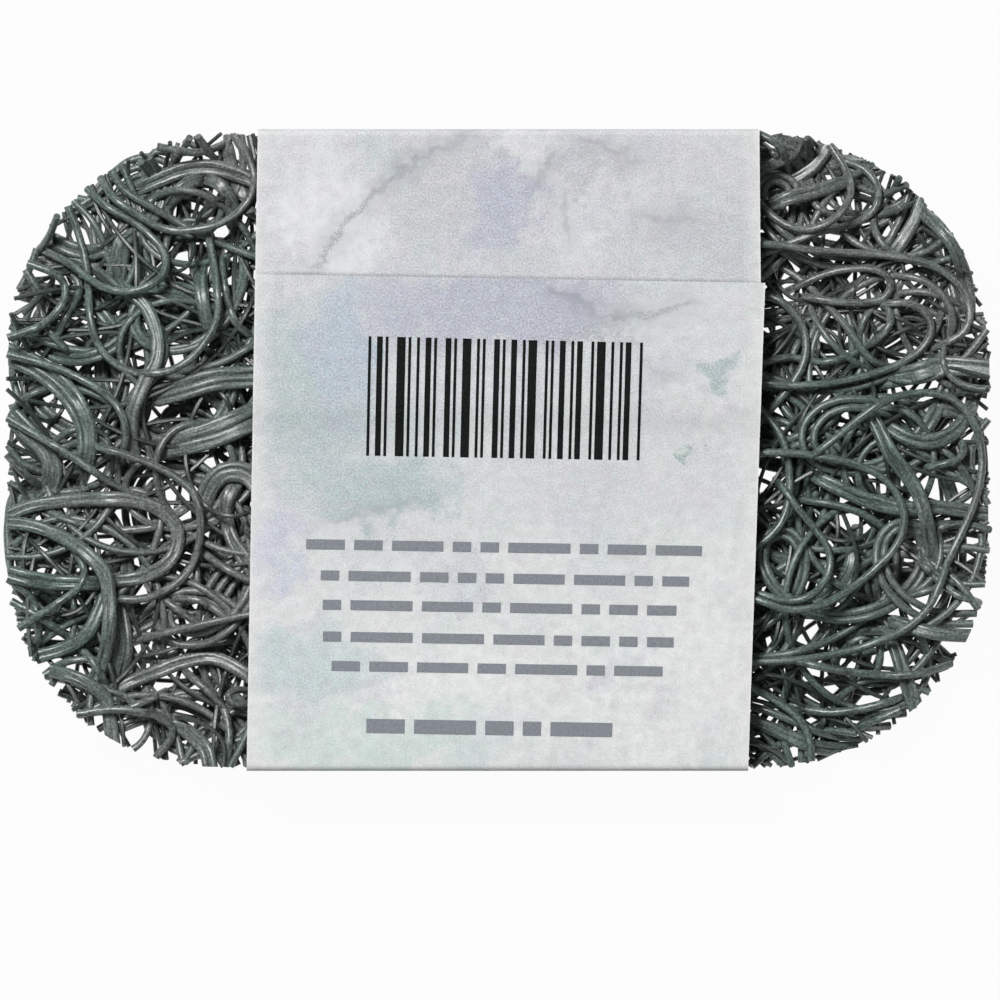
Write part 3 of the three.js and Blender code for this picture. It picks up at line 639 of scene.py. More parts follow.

# %% [markdown]
# Filling strands
# ---------------
# The solids carry the strands that show best. A real mat has three times as many, and from above they
# close all but a few small gaps. Some are drawn where the photograph shows them, as routes in
# hundredths of the mat's length and width with the height in hundredths of the mat's thickness. The
# others are rows of loops, which is how a swinging nozzle lays them over a moving belt.

# %% Filling strands drawn at the left end
left_filling = [
    (2, 78, [(-34.1, 37.6), (-33, 40.2), (-31.6, 42.2), (-30, 42.9), (-28.4, 42), (-27.3, 39.9), (-27, 36)]),
    (1, 60, [(-27.5, 49.4), (-28.8, 48), (-30.9, 47.1), (-34.4, 47.9)]),
    (3, 55, [(-27.3, 48.6), (-26.6, 45.5), (-25.5, 42.5), (-24.6, 38)]),
    (1, 66, [(-36.4, 25.6), (-35.5, 21.8), (-34.2, 18.6), (-33.9, 15.2), (-34.7, 12), (-36.2, 9.2), (-37.6, 6)]),
    (1, 62, [(-28.3, 31), (-27.9, 26.5), (-27.3, 22.6), (-26.4, 19.6), (-24, 17)]),
    (1, 70, [(-48, 29.6), (-45.4, 28.1), (-44.2, 26.4), (-44.1, 24), (-45.1, 21.4), (-46.9, 19.4), (-50, 17.7)]),
    (1, 50, [(-48.2, 28.6), (-47, 25.5), (-46.7, 23), (-46, 19.6), (-44, 16)]),
    (1, 58, [(-46.8, 31.6), (-44.3, 28.8), (-42.9, 26.8), (-42.8, 24.8), (-43.7, 22), (-45, 18)]),
    (1, 40, [(-36, 22), (-34, 20.8), (-32, 21.2), (-28, 21.5)]),
    (2, 46, [(-35, 26), (-33, 25.5), (-31.5, 25.2), (-28, 23)]),
    (2, 72, [(-50.4, -19.2), (-47.6, -20.3), (-45, -20.9), (-41, -21)]),
    (1, 64, [(-50.4, -20), (-48.3, -22), (-47.2, -24.4), (-46.8, -27.6), (-46.9, -31), (-47.4, -34.6)]),
    (1, 74, [(-43.8, -14.4), (-42.4, -17.8), (-42.1, -20), (-43, -22.2), (-44.7, -24.1), (-48, -27.4)]),
    (1, 60, [(-44.6, -42.4), (-41, -41.4), (-38, -41), (-35, -39)]),
    (2, 66, [(-35.4, -41.4), (-32.4, -43.8), (-30.6, -45.8), (-29.6, -47.8), (-29.2, -51)]),
    (1, 58, [(-31.6, -35.4), (-29.4, -38.2), (-28.1, -40.6), (-27.5, -43), (-27.4, -47), (-28, -51)]),
    (1, 44, [(-23, -43.6), (-27, -46.2), (-29.2, -47.2), (-33, -50)]),
    (1, 70, [(-30.6, -15.6), (-28, -18.4), (-25, -20.8), (-20, -24)]),
    (2, 56, [(-26, -3.4), (-27.6, -8), (-27.6, -11.2), (-26.9, -14.6), (-24, -21)]),
    (1, 42, [(-30.9, -17), (-30.7, -21), (-31.6, -23.6), (-33.5, -27)]),
    (1, 50, [(-35, -22.4), (-32.8, -25), (-30.6, -27.6), (-28, -32)]),
    (1, 62, [(-34, -23.4), (-30.8, -23.6), (-29.4, -24.6), (-26.4, -27.6)]),
    (1, 66, [(-49.8, -1), (-47.4, -4.8), (-44.6, -6.6), (-41, -5.4), (-39, -2), (-40.6, 2)]),
    (2, 52, [(-36, 46), (-34.4, 41.6), (-35.2, 37), (-38, 33.4), (-42, 31.4), (-46, 33.6)]),
    (1, 48, [(-47.6, -8), (-44, -11), (-39.6, -12.6), (-35, -12), (-31.6, -9)]),
    (1, 60, [(-49.4, -24), (-46.5, -26.5), (-44, -29.5), (-41.5, -33), (-40, -37)]),
    (1, 44, [(-47.6, -31.5), (-44.8, -28.4), (-42, -26.2), (-38, -24.6)]),
    (1, 36, [(-48.6, -27.4), (-45, -28.6), (-41.5, -31), (-38, -34)]),
    (1, 52, [(-43.6, -36.6), (-40.4, -37.6), (-37.6, -39.4), (-35.6, -43)]),
]

# %% Filling strands drawn at the right end
right_filling = [
    (1, 72, [(22, 36), (27.4, 32.7), (29.6, 30.8), (31.8, 28.2), (33, 25)]),
    (1, 50, [(33.2, 25), (32.6, 20.8), (32, 18.4), (31, 14)]),
    (2, 60, [(27, 38), (29.4, 39.8), (32.2, 40.9), (37, 43.4)]),
    (1, 66, [(26, 50.4), (28.5, 48.2), (29.2, 46), (29.6, 43.2), (29, 39)]),
    (2, 70, [(43.2, 37.8), (45.8, 33.6), (47, 30.2), (47.8, 26), (48, 21)]),
    (1, 46, [(41, 29.6), (44.6, 32), (47.4, 34)]),
    (1, 58, [(29.4, -7.6), (33.4, -8.6), (36.4, -9.5), (38.6, -11.2), (40.4, -15)]),
    (1, 52, [(27.8, 9.6), (29.8, 5.4), (31.6, 3.6), (35, 2.6), (39, 3.4)]),
    (1, 64, [(44.6, 2.4), (47, 1.4), (47.4, 0), (46.6, -1.6), (44, -2.6)]),
    (1, 56, [(39.4, 2.6), (42.6, 0.2), (45, -2.6), (50, -7)]),
    (3, 60, [(39, 11), (42.6, 12.2), (44.8, 13.3), (47, 13.3), (50.6, 12.6)]),
    (2, 50, [(36.4, -14), (35.7, -19.2), (34.4, -21.7), (32.4, -23.7), (28, -25)]),
    (2, 62, [(40.4, -27.2), (44.4, -28.9), (49, -29.4)]),
    (1, 58, [(31.6, -48), (34.6, -45.6), (37, -43.8), (41, -41)]),
    (1, 40, [(33.8, -23), (33.4, -27.4), (32, -31)]),
    (1, 48, [(34, -22.6), (37, -25.6), (40, -27.4)]),
    (1, 70, [(43.6, -18.6), (46.8, -22.9), (50, -24)]),
    (1, 54, [(46, -21), (43, -22.6), (39.6, -24), (35, -27), (32, -32)]),
    (2, 46, [(50, 3), (46.6, 6), (42, 6.4), (38, 3), (36.4, -2), (38, -7)]),
    (1, 60, [(24, 12), (29, 14.6), (33.6, 14), (37.6, 16.4), (40, 20.6), (38.6, 25)]),
    (2, 44, [(24, -12), (28, -16.6), (33, -18.6), (38, -17), (41.6, -13), (46, -12)]),
    (1, 66, [(28, 47), (31, 42.6), (33, 38), (37, 36.6), (41, 38.4)]),
    (2, 56, [(28.4, 49.8), (30.4, 48), (32.6, 46.4), (35.4, 45.2), (38, 42.6)]),
    (2, 46, [(26, 44.4), (28.2, 45.6), (30.2, 47.4), (31, 51)]),
    (2, 36, [(25.4, 47.6), (28.6, 46.6), (32, 46.2), (37, 45.4)]),
    (3, 28, [(25.6, 41), (29, 43.6), (33, 45.2), (37.4, 45.4)]),
    (2, 40, [(29.4, 50.8), (30, 47), (31.4, 43.4), (31, 39)]),
]

# %% [markdown]
# Under the strands that show
# ---------------------------
# The filling mustn't cover the strands that lie on top. Their points go into a kd-tree, which quickly
# finds those above a place, and each filling strand is pressed down until it runs a little below them.
# It is then smoothed, because a strand bends only so fast. Near the tips of the strands on top this
# roof is open, so that filling can lie over the tips and they seem to dive into the mat.

# %% Keep the filling under the strands that show
ROOF_REACH = 1.5
ROOF_GAP = 0.9
OPEN_AT_TIP = 4
SMOOTHING_PASSES = 4
STIFFNESS = 0.2
INSIDE_MARGIN = 0.05
FAR_OFF = Vector((999, 999, 0))


def roof_of(line):
    tips = [p for p in (line[0], line[-1]) if not was_cut(p)]
    return [p for p in dense_line(line) if all((p - tip).length > OPEN_AT_TIP for tip in tips)]


roof_nodes = [n for n in strand_nodes if "face" in n or "crossing" in n]
face_points = [p for n in roof_nodes for p in roof_of(middle_lines[n][0])]
roof = kdtree.KDTree(len(face_points))
for i, p in enumerate(face_points):
    roof.insert((p.x, p.y, 0), i)
roof.balance()
print(len(face_points), "points in the roof over the filling")


def under_the_face(line, radius):
    lowest = MAT_BASE + radius
    heights = []
    for p in line:
        over = [face_points[i].z for _, i, _ in roof.find_range((p.x, p.y, 0), ROOF_REACH)]
        heights.append(max(lowest, min([p.z, *(z - ROOF_GAP for z in over)])))
    for _ in range(SMOOTHING_PASSES):
        for i in range(1, len(heights) - 1):
            beside = (heights[i - 1] + heights[i + 1]) / 2
            heights[i] = max(lowest, min(heights[i], beside + STIFFNESS))
    return [Vector((p.x, p.y, z)) for p, z in zip(line, heights)]


def stretches_inside(line):
    kept, run = [], []
    for place in line + [FAR_OFF]:
        if outside(place.x, place.y) < -INSIDE_MARGIN:
            run.append(place)
        else:
            if len(run) > 2:
                kept.append(run)
            run = []
    return kept


# %% Turn the drawn routes to lines
ROUTE_SPACING = 1.2
ROUTE_WAVE = 5
WAVE_STEP = 2.1


def drawn_line(shares, height):
    line = []
    for i, (x, y) in enumerate(shares):
        z = MAT_BASE + (MAT_TOP - MAT_BASE) * (height + ROUTE_WAVE * math.sin(WAVE_STEP * i)) / 100
        line.append(Vector((x * MAT_LENGTH / 100, y * MAT_WIDTH / 100, z)))
    return line


drawn_singles, drawn_ribbons = [], []
for count, height, route in left_filling + right_filling:
    for stretch in stretches_inside(dense_line(drawn_line(route, height), ROUTE_SPACING)):
        lowered = under_the_face(stretch, ROUND_RADIUS)
        if count == 1:
            drawn_singles.append(finish_ends(with_tucked_ends(lowered)[0]))
        else:
            drawn_ribbons.append((lowered, count))
print(len(drawn_singles), "single strands and", len(drawn_ribbons), "ribbons drawn by hand")

# %% One row of loops
LOOP_SWELL = 0.35
HEIGHT_WANDER = 0.3
HIGHEST_SHARE = 0.9
LOWEST_FILLING = 0.4
FILLING_MARGIN = 1.2


def loop_row(start, end, radius, advance, levels, spacing, chance):
    start, end = Vector(start), Vector(end)
    way = (end - start).normalized()
    side = Vector((-way.y, way.x))
    turn = chance.choice((-1, 1))
    phase = chance.uniform(0, 2 * math.pi)
    height = chance.uniform(*levels)
    line, travelled, angle = [], 0.0, 0.0
    wanted = (end - start).length
    shift = chance.uniform(0, 100)
    while travelled < wanted:
        swell = radius * (1 + LOOP_SWELL * noise.noise(Vector((shift, travelled * 0.06, 0))))
        ahead = way * (travelled + swell * math.cos(angle + phase))
        aside = side * turn * swell * math.sin(angle + phase)
        place = start + ahead + aside
        wander = noise.noise(Vector((travelled * 0.05, shift, angle * 0.35)))
        share = min(max(height + HEIGHT_WANDER * wander, 0.0), HIGHEST_SHARE)
        z = MAT_BASE + LOWEST_FILLING + (MAT_TOP - MAT_BASE - FILLING_MARGIN) * share
        line.append(Vector((place.x, place.y, z)))
        step = spacing / (swell + advance / (2 * math.pi))
        angle += step
        travelled += advance * step / (2 * math.pi)
    return line


# %% Rows of loops along and across the mat
COARSE_RADIUS = 0.44
FINE_RADIUS = 0.27
ROW_END_X = 74
ROW_END_Y = 52
ROW_LEAN = 14


def looped_filling(rows_along, rows_across, radii, advances, levels, spacing, strand_radius, seed):
    chance = random.Random(seed)
    rows = []
    for k in range(rows_along):
        y = -MAT_WIDTH / 2 + MAT_WIDTH * (k + chance.random()) / rows_along
        rows.append(((-ROW_END_X, y), (ROW_END_X, y + chance.uniform(-ROW_LEAN, ROW_LEAN))))
    for k in range(rows_across):
        x = -MAT_LENGTH / 2 + MAT_LENGTH * (k + chance.random()) / rows_across
        rows.append(((x, -ROW_END_Y), (x + chance.uniform(-ROW_LEAN, ROW_LEAN), ROW_END_Y)))
    stretches = []
    for start, end in rows:
        loop_radius, advance = chance.uniform(*radii), chance.uniform(*advances)
        row = loop_row(start, end, loop_radius, advance, levels, spacing, chance)
        stretches += [finish_ends(under_the_face(run, strand_radius)) for run in stretches_inside(row)]
    metres = sum((b - a).length for run in stretches for a, b in zip(run, run[1:])) / 1000
    print(len(stretches), "stretches,", round(metres, 1), "m of strand", 2 * strand_radius, "mm thick")
    return stretches


coarse = looped_filling(11, 17, (4.5, 9), (13, 24), (0.0, 0.7), 2.2, COARSE_RADIUS, 41)
fine = looped_filling(42, 60, (7, 15), (26, 60), (0.0, 0.75), 2.6, FINE_RADIUS, 42)

# %% Make the filling strands
BATCHES = 4
looped_kinds = (
    ("coarse_filling", coarse, 91, COARSE_RADIUS, 3, 2),
    ("fine_filling", fine, 95, FINE_RADIUS, 2, 1),
)
filling_pieces = [
    round_strands("drawn_filling_strands", drawn_singles, 90),
    ribbons("drawn_filling_ribbons", drawn_ribbons),
]
for k in range(BATCHES):
    for name, lines, seed, radius, steps, sides in looped_kinds:
        batch = lines[k::BATCHES]
        filling_pieces.append(round_strands(f"{name}_{k + 1}", batch, seed + k, radius, steps, sides))
mat_pieces += filling_pieces
print([len(p.data.polygons) for p in filling_pieces], "faces in the filling strands")

# %% [markdown]
# Soft PVC
# --------
# The strands are flexible PVC in a dark grey-green. What the eye sees is a thin pale line along each
# crown, sides that fall to near black, and faint marks drawn out along the strand. The pale line is
# what a fairly smooth surface shows of the small lamp. The colour leans to grey in one place and to
# green in another, and the marks stretch along the strand's own map. A bump of marks and fine grain
# breaks up the sheen. The thinnest filling lies deep in the mat and gets a darker copy of the same
# PVC, which is painted shade for the depth.

# %% Strand material
def soft_pvc(name, neutral, greenish):
    material, tree, shader = new_material(name)
    place = add_node(tree, "ShaderNodeTexCoord").outputs["Object"]
    strand_map = add_node(tree, "ShaderNodeUVMap").outputs[0]
    leaning = ranged(tree, noise_at(tree, place, 38.0), 0.4, 0.6)
    body = mixed(tree, leaning, colour(neutral), colour(greenish))
    drawn_out = add_node(tree, "ShaderNodeMapping", Vector=strand_map, Scale=(48.0, 2.5, 1.0))
    streaks = noise_at(tree, drawn_out.outputs[0], 1.0, 2.0, 0.6)
    grain = noise_at(tree, place, 3600.0, 0.0)
    for pattern, low, high in ((streaks, 0.4, 1.6), (grain, 0.6, 1.4)):
        body = mixed(tree, 1.0, body, ranged(tree, pattern, 0.3, 0.7, low, high), "MULTIPLY")
    relief = maths(tree, "MULTIPLY_ADD", streaks, 6.0, grain)
    finish_surface(tree, shader, body, relief, 0.12, 0.36, 0.75)
    return material


strand_material = soft_pvc("soft grey-green pvc", "6c7170", "5d6b66")
# The same PVC in darker colours is painted shade for the fine filling deep in the mat.
filling_pvc_with_painted_shade = soft_pvc("soft grey-green pvc with painted shade for the depth", "454a49", "3c4643")
for piece in mat_pieces:
    deep = piece.name.startswith("fine_filling")
    piece.data.materials.append(filling_pvc_with_painted_shade if deep else strand_material)
    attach(piece, "mat")

# %% [markdown]
# The paper sleeve
# ----------------
# One strip of paper goes once round the mat, from the hidden flap over the far edge, underneath, up the
# near edge and back over the flap, where it is glued. Here the strip starts flat, as a grid, and each
# point of it is then wrapped: its way along the strip gives its height and side, and its way across
# gives its place along the mat. The strip was put on a little askew, so its edges lean. Real paper is
# never quite flat, so it swells and dips by a tenth of a millimetre or two.

# %% Path of the strip round the mat
CUT_EDGE = 0.28
RISE_PARTS = 8


def strip_path():
    places = [(FLAP_EDGE_Y, SLEEVE_INNER_TOP, 90)]

    def line_to(y, z, facing, spacing=1.0):
        y0, z0, _ = places[-1]
        parts = max(1, round(math.hypot(y - y0, z - z0) / spacing))
        for k in range(1, parts + 1):
            places.append((y0 + (y - y0) * k / parts, z0 + (z - z0) * k / parts, facing))

    def fold(y, z, start, parts=6):
        for k in range(1, parts + 1):
            facing = start - 90 * k / parts
            angle = math.radians(facing)
            places.append((y + FOLD_RADIUS * math.cos(angle), z + FOLD_RADIUS * math.sin(angle), facing))

    near, far = -SLEEVE_HALF_WIDTH + FOLD_RADIUS, SLEEVE_HALF_WIDTH - FOLD_RADIUS
    high, low = SLEEVE_INNER_TOP - FOLD_RADIUS, SLEEVE_INNER_BOTTOM + FOLD_RADIUS
    line_to(far, SLEEVE_INNER_TOP, 90)
    fold(far, high, 90)
    line_to(SLEEVE_HALF_WIDTH, low, 0)
    fold(far, low, 0)
    line_to(near, SLEEVE_INNER_BOTTOM, -90)
    fold(near, low, -90)
    line_to(-SLEEVE_HALF_WIDTH, high, -180)
    fold(near, high, -180)
    line_to(FLAP_EDGE_Y - 1.5 * FLAP_RISE, SLEEVE_INNER_TOP, -270)
    for k in range(1, RISE_PARTS + 1):
        t = k / RISE_PARTS
        risen = SLEEVE_INNER_TOP + FLAP_LIFT * t * t * (3 - 2 * t)
        places.append((FLAP_EDGE_Y + (t - 1.5) * FLAP_RISE, risen, -270))
    line_to(SEAM_Y - CUT_EDGE, SLEEVE_INNER_TOP + FLAP_LIFT, -270)
    line_to(SEAM_Y, SLEEVE_INNER_TOP + FLAP_LIFT, -270)
    return places


path = strip_path()
FLAP_PANEL = SLEEVE_HALF_WIDTH - FLAP_EDGE_Y
OUTER_PANEL = SLEEVE_HALF_WIDTH + SEAM_Y
path_length = [0.0]
for (y0, z0, _), (y1, z1, _) in zip(path, path[1:]):
    path_length.append(path_length[-1] + math.hypot(y1 - y0, z1 - z0))
STRIP_LENGTH = path_length[-1]
print("the strip is", round(STRIP_LENGTH, 1), "by", PAPER_WIDTH, "mm when flat")


# %% Wrap a point of the flat strip round the mat
SEAM_STRETCH = 12
BROAD_SWELL = 0.16
SMALL_SWELL = 0.05
TAUT_BESIDE_FOLD = 6
UNDERSIDE_BELOW = 2


def at_length(length):
    length = min(max(length, 0.0), STRIP_LENGTH)
    k = min(max(bisect_left(path_length, length), 1), len(path) - 1)
    t = (length - path_length[k - 1]) / (path_length[k] - path_length[k - 1])
    return tuple(path[k - 1][i] * (1 - t) + path[k][i] * t for i in range(3))


def wrapped(x, length, lift=0.0):
    y, z, facing = at_length(length)
    to_seam = min(max((length - (STRIP_LENGTH - SEAM_STRETCH)) / SEAM_STRETCH, 0), 1)
    y -= SLEEVE_SKEW * x * to_seam
    out = Vector((0, math.cos(math.radians(facing)), math.sin(math.radians(facing))))
    broad = noise.noise(Vector((x * 0.045, length * 0.04, 3.0)))
    small = noise.noise(Vector((x * 0.16, length * 0.13, 8.0)))
    swell = 0.0 if z < UNDERSIDE_BELOW else BROAD_SWELL * broad + SMALL_SWELL * small
    loose = min(1.0, abs(abs(y) - SLEEVE_HALF_WIDTH) / TAUT_BESIDE_FOLD)
    place = Vector((x, y, z)) + out * (lift + swell * loose)
    into_flap = min(max(1 - length / FLAP_PANEL, 0), 1)
    into_outer = min(max(1 - (STRIP_LENGTH - length) / OUTER_PANEL, 0), 1)
    flare = FLAP_END_FLARE * into_flap + SEAM_END_FLARE * into_outer
    place.x += SLEEVE_OFFSET + SLEEVE_SKEW * place.y + flare * (x / PAPER_WIDTH + 0.5)
    return place


# %% Build the sleeve from a flat grid
ACROSS = 62
STRIP_MAP_UNIT = 100
EDGE_WEAR = 0.8
FOLD_WEAR_AND_HIGHLIGHT = 0.12
half_paper = PAPER_WIDTH / 2
between_edges = PAPER_WIDTH - 2 * CUT_EDGE
inner_columns = [-half_paper + CUT_EDGE + between_edges * k / (ACROSS - 2) for k in range(ACROSS - 1)]
columns = [-half_paper, *inner_columns, half_paper]
bpy.ops.object.select_all(action="DESELECT")
bpy.ops.mesh.primitive_grid_add(x_subdivisions=ACROSS, y_subdivisions=len(path) - 1, size=1, calc_uvs=True)
sleeve = bpy.context.object
sleeve.name = "paper_sleeve_shell"
mesh = sleeve.data
flat_places = {}
wear_and_highlight = mesh.attributes.new("wear_and_highlight", "FLOAT", "POINT")
for vertex in mesh.vertices:
    column = round((vertex.co.x + 0.5) * ACROSS)
    row = round((vertex.co.y + 0.5) * (len(path) - 1))
    flat_places[vertex.index] = (columns[column], path_length[row])
    vertex.co = wrapped(*flat_places[vertex.index]) * MM
    on_fold = path[row][2] % 90 != 0
    # Side edges are worn; folds get a faint lightening that is partly wear and partly a painted highlight.
    wear_and_highlight_here = EDGE_WEAR if column in (0, ACROSS) else FOLD_WEAR_AND_HIGHLIGHT if on_fold else 0.0
    wear_and_highlight.data[vertex.index].value = wear_and_highlight_here
strip_map = mesh.uv_layers.active.data
for loop in mesh.loops:
    x, length = flat_places[loop.vertex_index]
    strip_map[loop.index].uv = (x / STRIP_MAP_UNIT, length / STRIP_MAP_UNIT)
bpy.ops.object.mode_set(mode="EDIT")
bpy.ops.mesh.select_all(action="SELECT")
bpy.ops.mesh.flip_normals()
bpy.ops.object.mode_set(mode="OBJECT")
bottom = [p for p in mesh.polygons if p.center.z < 0.001 and abs(p.center.y) < 0.03]
if bottom[0].normal.z > 0:
    mesh.flip_normals()
print("the strip has", len(mesh.polygons), "faces before it gets its thickness")

# %% [markdown]
# Paper with a watercolour wash
# -----------------------------
# The outer face is printed with a pale wash of grey, lavender and blue-green. The ground thins out
# towards the near fold and has clouds of each tint. Larger spots of colour are laid one by one: each is
# an oval with a place, a size and a tint, and a noise bends its edge, as wet paint runs. Where paint
# dried at its rim, a thin vein of dark specks is left in a faint halo. A thin grey band in the step
# beside the seam is a painted shadow of the flap's edge. The grain of the paper shows more where there
# is more pigment. All of it reads the flat strip's own map, so it runs on round the folds. One unit of
# that map is 100 mm, so a noise of scale 450 has grains of about 0.2 mm. Cut side edges are worn to the
# white of the paper. The folds are lightened only faintly, partly as worn print and partly as a painted
# highlight, and an attribute on the mesh says where. The inner face is white with a fine mottle, and
# the same recipe serves the inks and the glue.

# %% Where a spot of the print lies on the flat strip
def strip_length_at(y):
    return STRIP_LENGTH - (SEAM_Y - y)


def flap_length_at(y):
    return y - FLAP_EDGE_Y


# %% Paper material
washed_paper, tree, shader = new_material("uncoated paper with a watercolour wash")
flat = add_node(tree, "ShaderNodeUVMap").outputs[0]
ragged = add_node(tree, "ShaderNodeTexNoise", Vector=flat, Scale=16.0, Detail=6.0, Roughness=0.7)
about_zero = vector_maths(tree, "SUBTRACT", ragged.outputs["Color"], (0.5, 0.5, 0.5))
bent = vector_maths(tree, "MULTIPLY_ADD", about_zero, (0.2, 0.2, 0.0), flat)
waved = vector_maths(tree, "MULTIPLY_ADD", about_zero, (0.07, 0.07, 0.0), flat)


def mixed_with(ground, tint, share):
    return mixed(tree, share, ground, colour(tint))


def clouds(shift, scale, low, high, most):
    moved = vector_maths(tree, "ADD", bent, shift)
    return ranged(tree, noise_at(tree, moved, scale, 5.0, 0.6), low, high, 0.0, most)


def spot(x, length, half_width, half_height, turn, share, edge=0.9, on=bent):
    local = add_node(
        tree,
        "ShaderNodeMapping",
        {"vector_type": "TEXTURE"},
        Vector=on,
        Location=(x / STRIP_MAP_UNIT, length / STRIP_MAP_UNIT, 0.0),
        Rotation=(0.0, 0.0, math.radians(turn)),
        Scale=(half_width / STRIP_MAP_UNIT, half_height / STRIP_MAP_UNIT, 1.0),
    )
    reach = add_node(tree, "ShaderNodeVectorMath", {"operation": "LENGTH"}, i0=local.outputs[0])
    rim_out, rim_in = 1.0 + edge / 2, 1.0 - edge / 2
    return ranged(tree, reach.outputs["Value"], rim_out, rim_in, 0.0, share, "SMOOTHSTEP")


# %% Ground of the wash
way = add_node(tree, "ShaderNodeSeparateXYZ", Vector=flat)
across_strip, along_strip = way.outputs[0], way.outputs[1]
near_fold = ranged(tree, along_strip, 1.66, 1.34)
to_the_right = ranged(tree, across_strip, -0.2, 0.28)
thinned = maths(tree, "MULTIPLY_ADD", to_the_right, 0.35, near_fold, clamp=True)
wash = mixed_with(colour("d1d3d5"), "e9ebea", maths(tree, "MULTIPLY", thinned, 0.9))
wash = mixed_with(wash, "bdbdc4", ranged(tree, along_strip, 0.5, 0.4, 0.0, 0.6))
broad_clouds = [
    ("e2e3e2", (0.3, 0.8, 0), 7.0, 0.5, 0.66, 0.45),
    ("b9bbc1", (2.1, 0.4, 0), 10.0, 0.52, 0.7, 0.4),
    ("c3c3d3", (4.7, 1.9, 0), 12.0, 0.54, 0.68, 0.4),
    ("c1d2ce", (7.3, 3.1, 0), 12.0, 0.54, 0.7, 0.4),
]
for tint, *shape in broad_clouds:
    wash = mixed_with(wash, tint, clouds(*shape))

# %% Spots of colour laid one by one
beyond_the_seam = [
    (-21, 28, 5.5, 7.5, 20, "e3e4e5", 0.85),
    (-6, 31, 8, 6.5, 0, "c3c4c9", 0.5),
    (-1, 28.5, 3.6, 5, -15, "b6b9ca", 0.7),
    (2.4, 35.4, 2.4, 3.6, 0, "dcdcde", 0.8),
    (9, 34.7, 4.6, 2.4, 10, "bdbec4", 0.6),
    (8, 26, 3.4, 3.4, 0, "dedfe0", 0.6),
    (23, 25.5, 9, 2.4, -8, "c3c5ca", 0.6),
    (23, 33.5, 8, 3.6, 0, "cfcfd2", 0.6),
]
on_the_print = [
    (-2.4, 17.2, 15, 5, -1, "b7b9c8", 0.85),
    (-22.4, 5.5, 6.4, 11, 0, "b8c5c6", 0.8),
    (-20.2, 11, 3.8, 8.5, 6, "b9c3d0", 0.8),
    (-14.7, -5, 8.5, 3.4, 5, "b5c4c7", 0.85),
    (-27, -12, 2.8, 4.8, 0, "c7cadb", 0.7),
    (-22.5, -26, 6.2, 4.8, 0, "c5d2d3", 0.8),
    (-14, -34.8, 15, 3.4, 0, "d1deda", 0.85),
    (14, -5.6, 12, 3.6, -6, "ced1d5", 0.4),
    (9, 14.4, 5, 1.2, -14, "b3b4bd", 0.7),
    (25.5, 9.8, 2.2, 1.8, 0, "b2c0c1", 0.9),
    (22.3, -0.5, 1.2, 1.2, 0, "a6b6b4", 0.9),
]
for spots, length_at in ((beyond_the_seam, flap_length_at), (on_the_print, strip_length_at)):
    for x, y, half_width, half_height, turn, tint, share in spots:
        wash = mixed_with(wash, tint, spot(x, length_at(y), half_width, half_height, turn, share))
wash = mixed_with(wash, "d6c9d2", clouds((1.6, 6.2, 0), 42.0, 0.52, 0.75, 0.5))
wash = mixed_with(wash, "c0d4cb", clouds((8.2, 5.4, 0), 48.0, 0.52, 0.75, 0.5))

# %% Veins where the paint dried at its rim
HALO = (1.7, 1.4, 0.55)
CORE = (0.42, 1.0, 1.0)
dots = ranged(tree, noise_at(tree, flat, 450.0, 2.0, 0.8), 0.42, 0.58)
veins = [
    (-20.3, flap_length_at(25.6), 5.6, 51, 0.8),
    (-13.3, flap_length_at(32.8), 5.8, 40, 0.7),
    (-7, flap_length_at(36.9), 4, 16, 0.5),
    (4.2, flap_length_at(33.4), 3.2, 60, 0.6),
    (12.2, flap_length_at(36.2), 4.8, -14, 0.5),
    (7, flap_length_at(28.2), 3, -80, 0.5),
    (19.4, flap_length_at(27.9), 4.6, -6, 0.5),
    (7.2, strip_length_at(18.2), 4.2, -30, 0.6),
    (14, strip_length_at(16), 4, -3, 0.7),
    (19.6, strip_length_at(16.9), 3, 27, 0.6),
    (18.5, strip_length_at(9), 2.6, -30, 0.4),
    (-16, strip_length_at(-7.6), 7, 14, 0.4),
]
for x, length, half_length, turn, share in veins:
    for half_width, edge, strength in (HALO, CORE):
        reach = spot(x, length, half_length, half_width, turn, share * strength, edge, waved)
        wash = mixed_with(wash, "8a8e95", maths(tree, "MULTIPLY", reach, dots))

# %% Painted shadow in the step beside the seam
step_length = flap_length_at(SEAM_Y) / STRIP_MAP_UNIT
from_seam = maths(tree, "MULTIPLY_ADD", across_strip, SLEEVE_SKEW, along_strip)
# A thin grey band just beyond the seam's edge is a painted shadow of the step there.
painted_seam_shadow = ranged(tree, from_seam, step_length + 0.005, step_length + 0.001, 0.0, 0.6)
outer_face = maths(tree, "LESS_THAN", along_strip, step_length + 0.01)
wash = mixed_with(wash, "94969c", maths(tree, "MULTIPLY", painted_seam_shadow, outer_face))

# %% Grain and worn edges
from_the_middle = maths(tree, "ABSOLUTE", across_strip)
wash = mixed_with(wash, "e6e6e4", ranged(tree, from_the_middle, 0.275, 0.298, 0.0, 0.5))
lightness = add_node(tree, "ShaderNodeRGBToBW", Color=wash).outputs[0]
pigment = ranged(tree, lightness, 0.74, 0.5, 0.4, 1.5)
fibre = noise_at(tree, flat, 450.0, 1.0, 0.8)
grain = maths(tree, "MULTIPLY_ADD", maths(tree, "SUBTRACT", fibre, 0.5), pigment, 1.0)
mottle = ranged(tree, noise_at(tree, flat, 70.0, 3.0, 0.6), 0.3, 0.7, 0.93, 1.07)
grained = mixed(tree, 1.0, wash, maths(tree, "MULTIPLY", grain, mottle), "MULTIPLY")
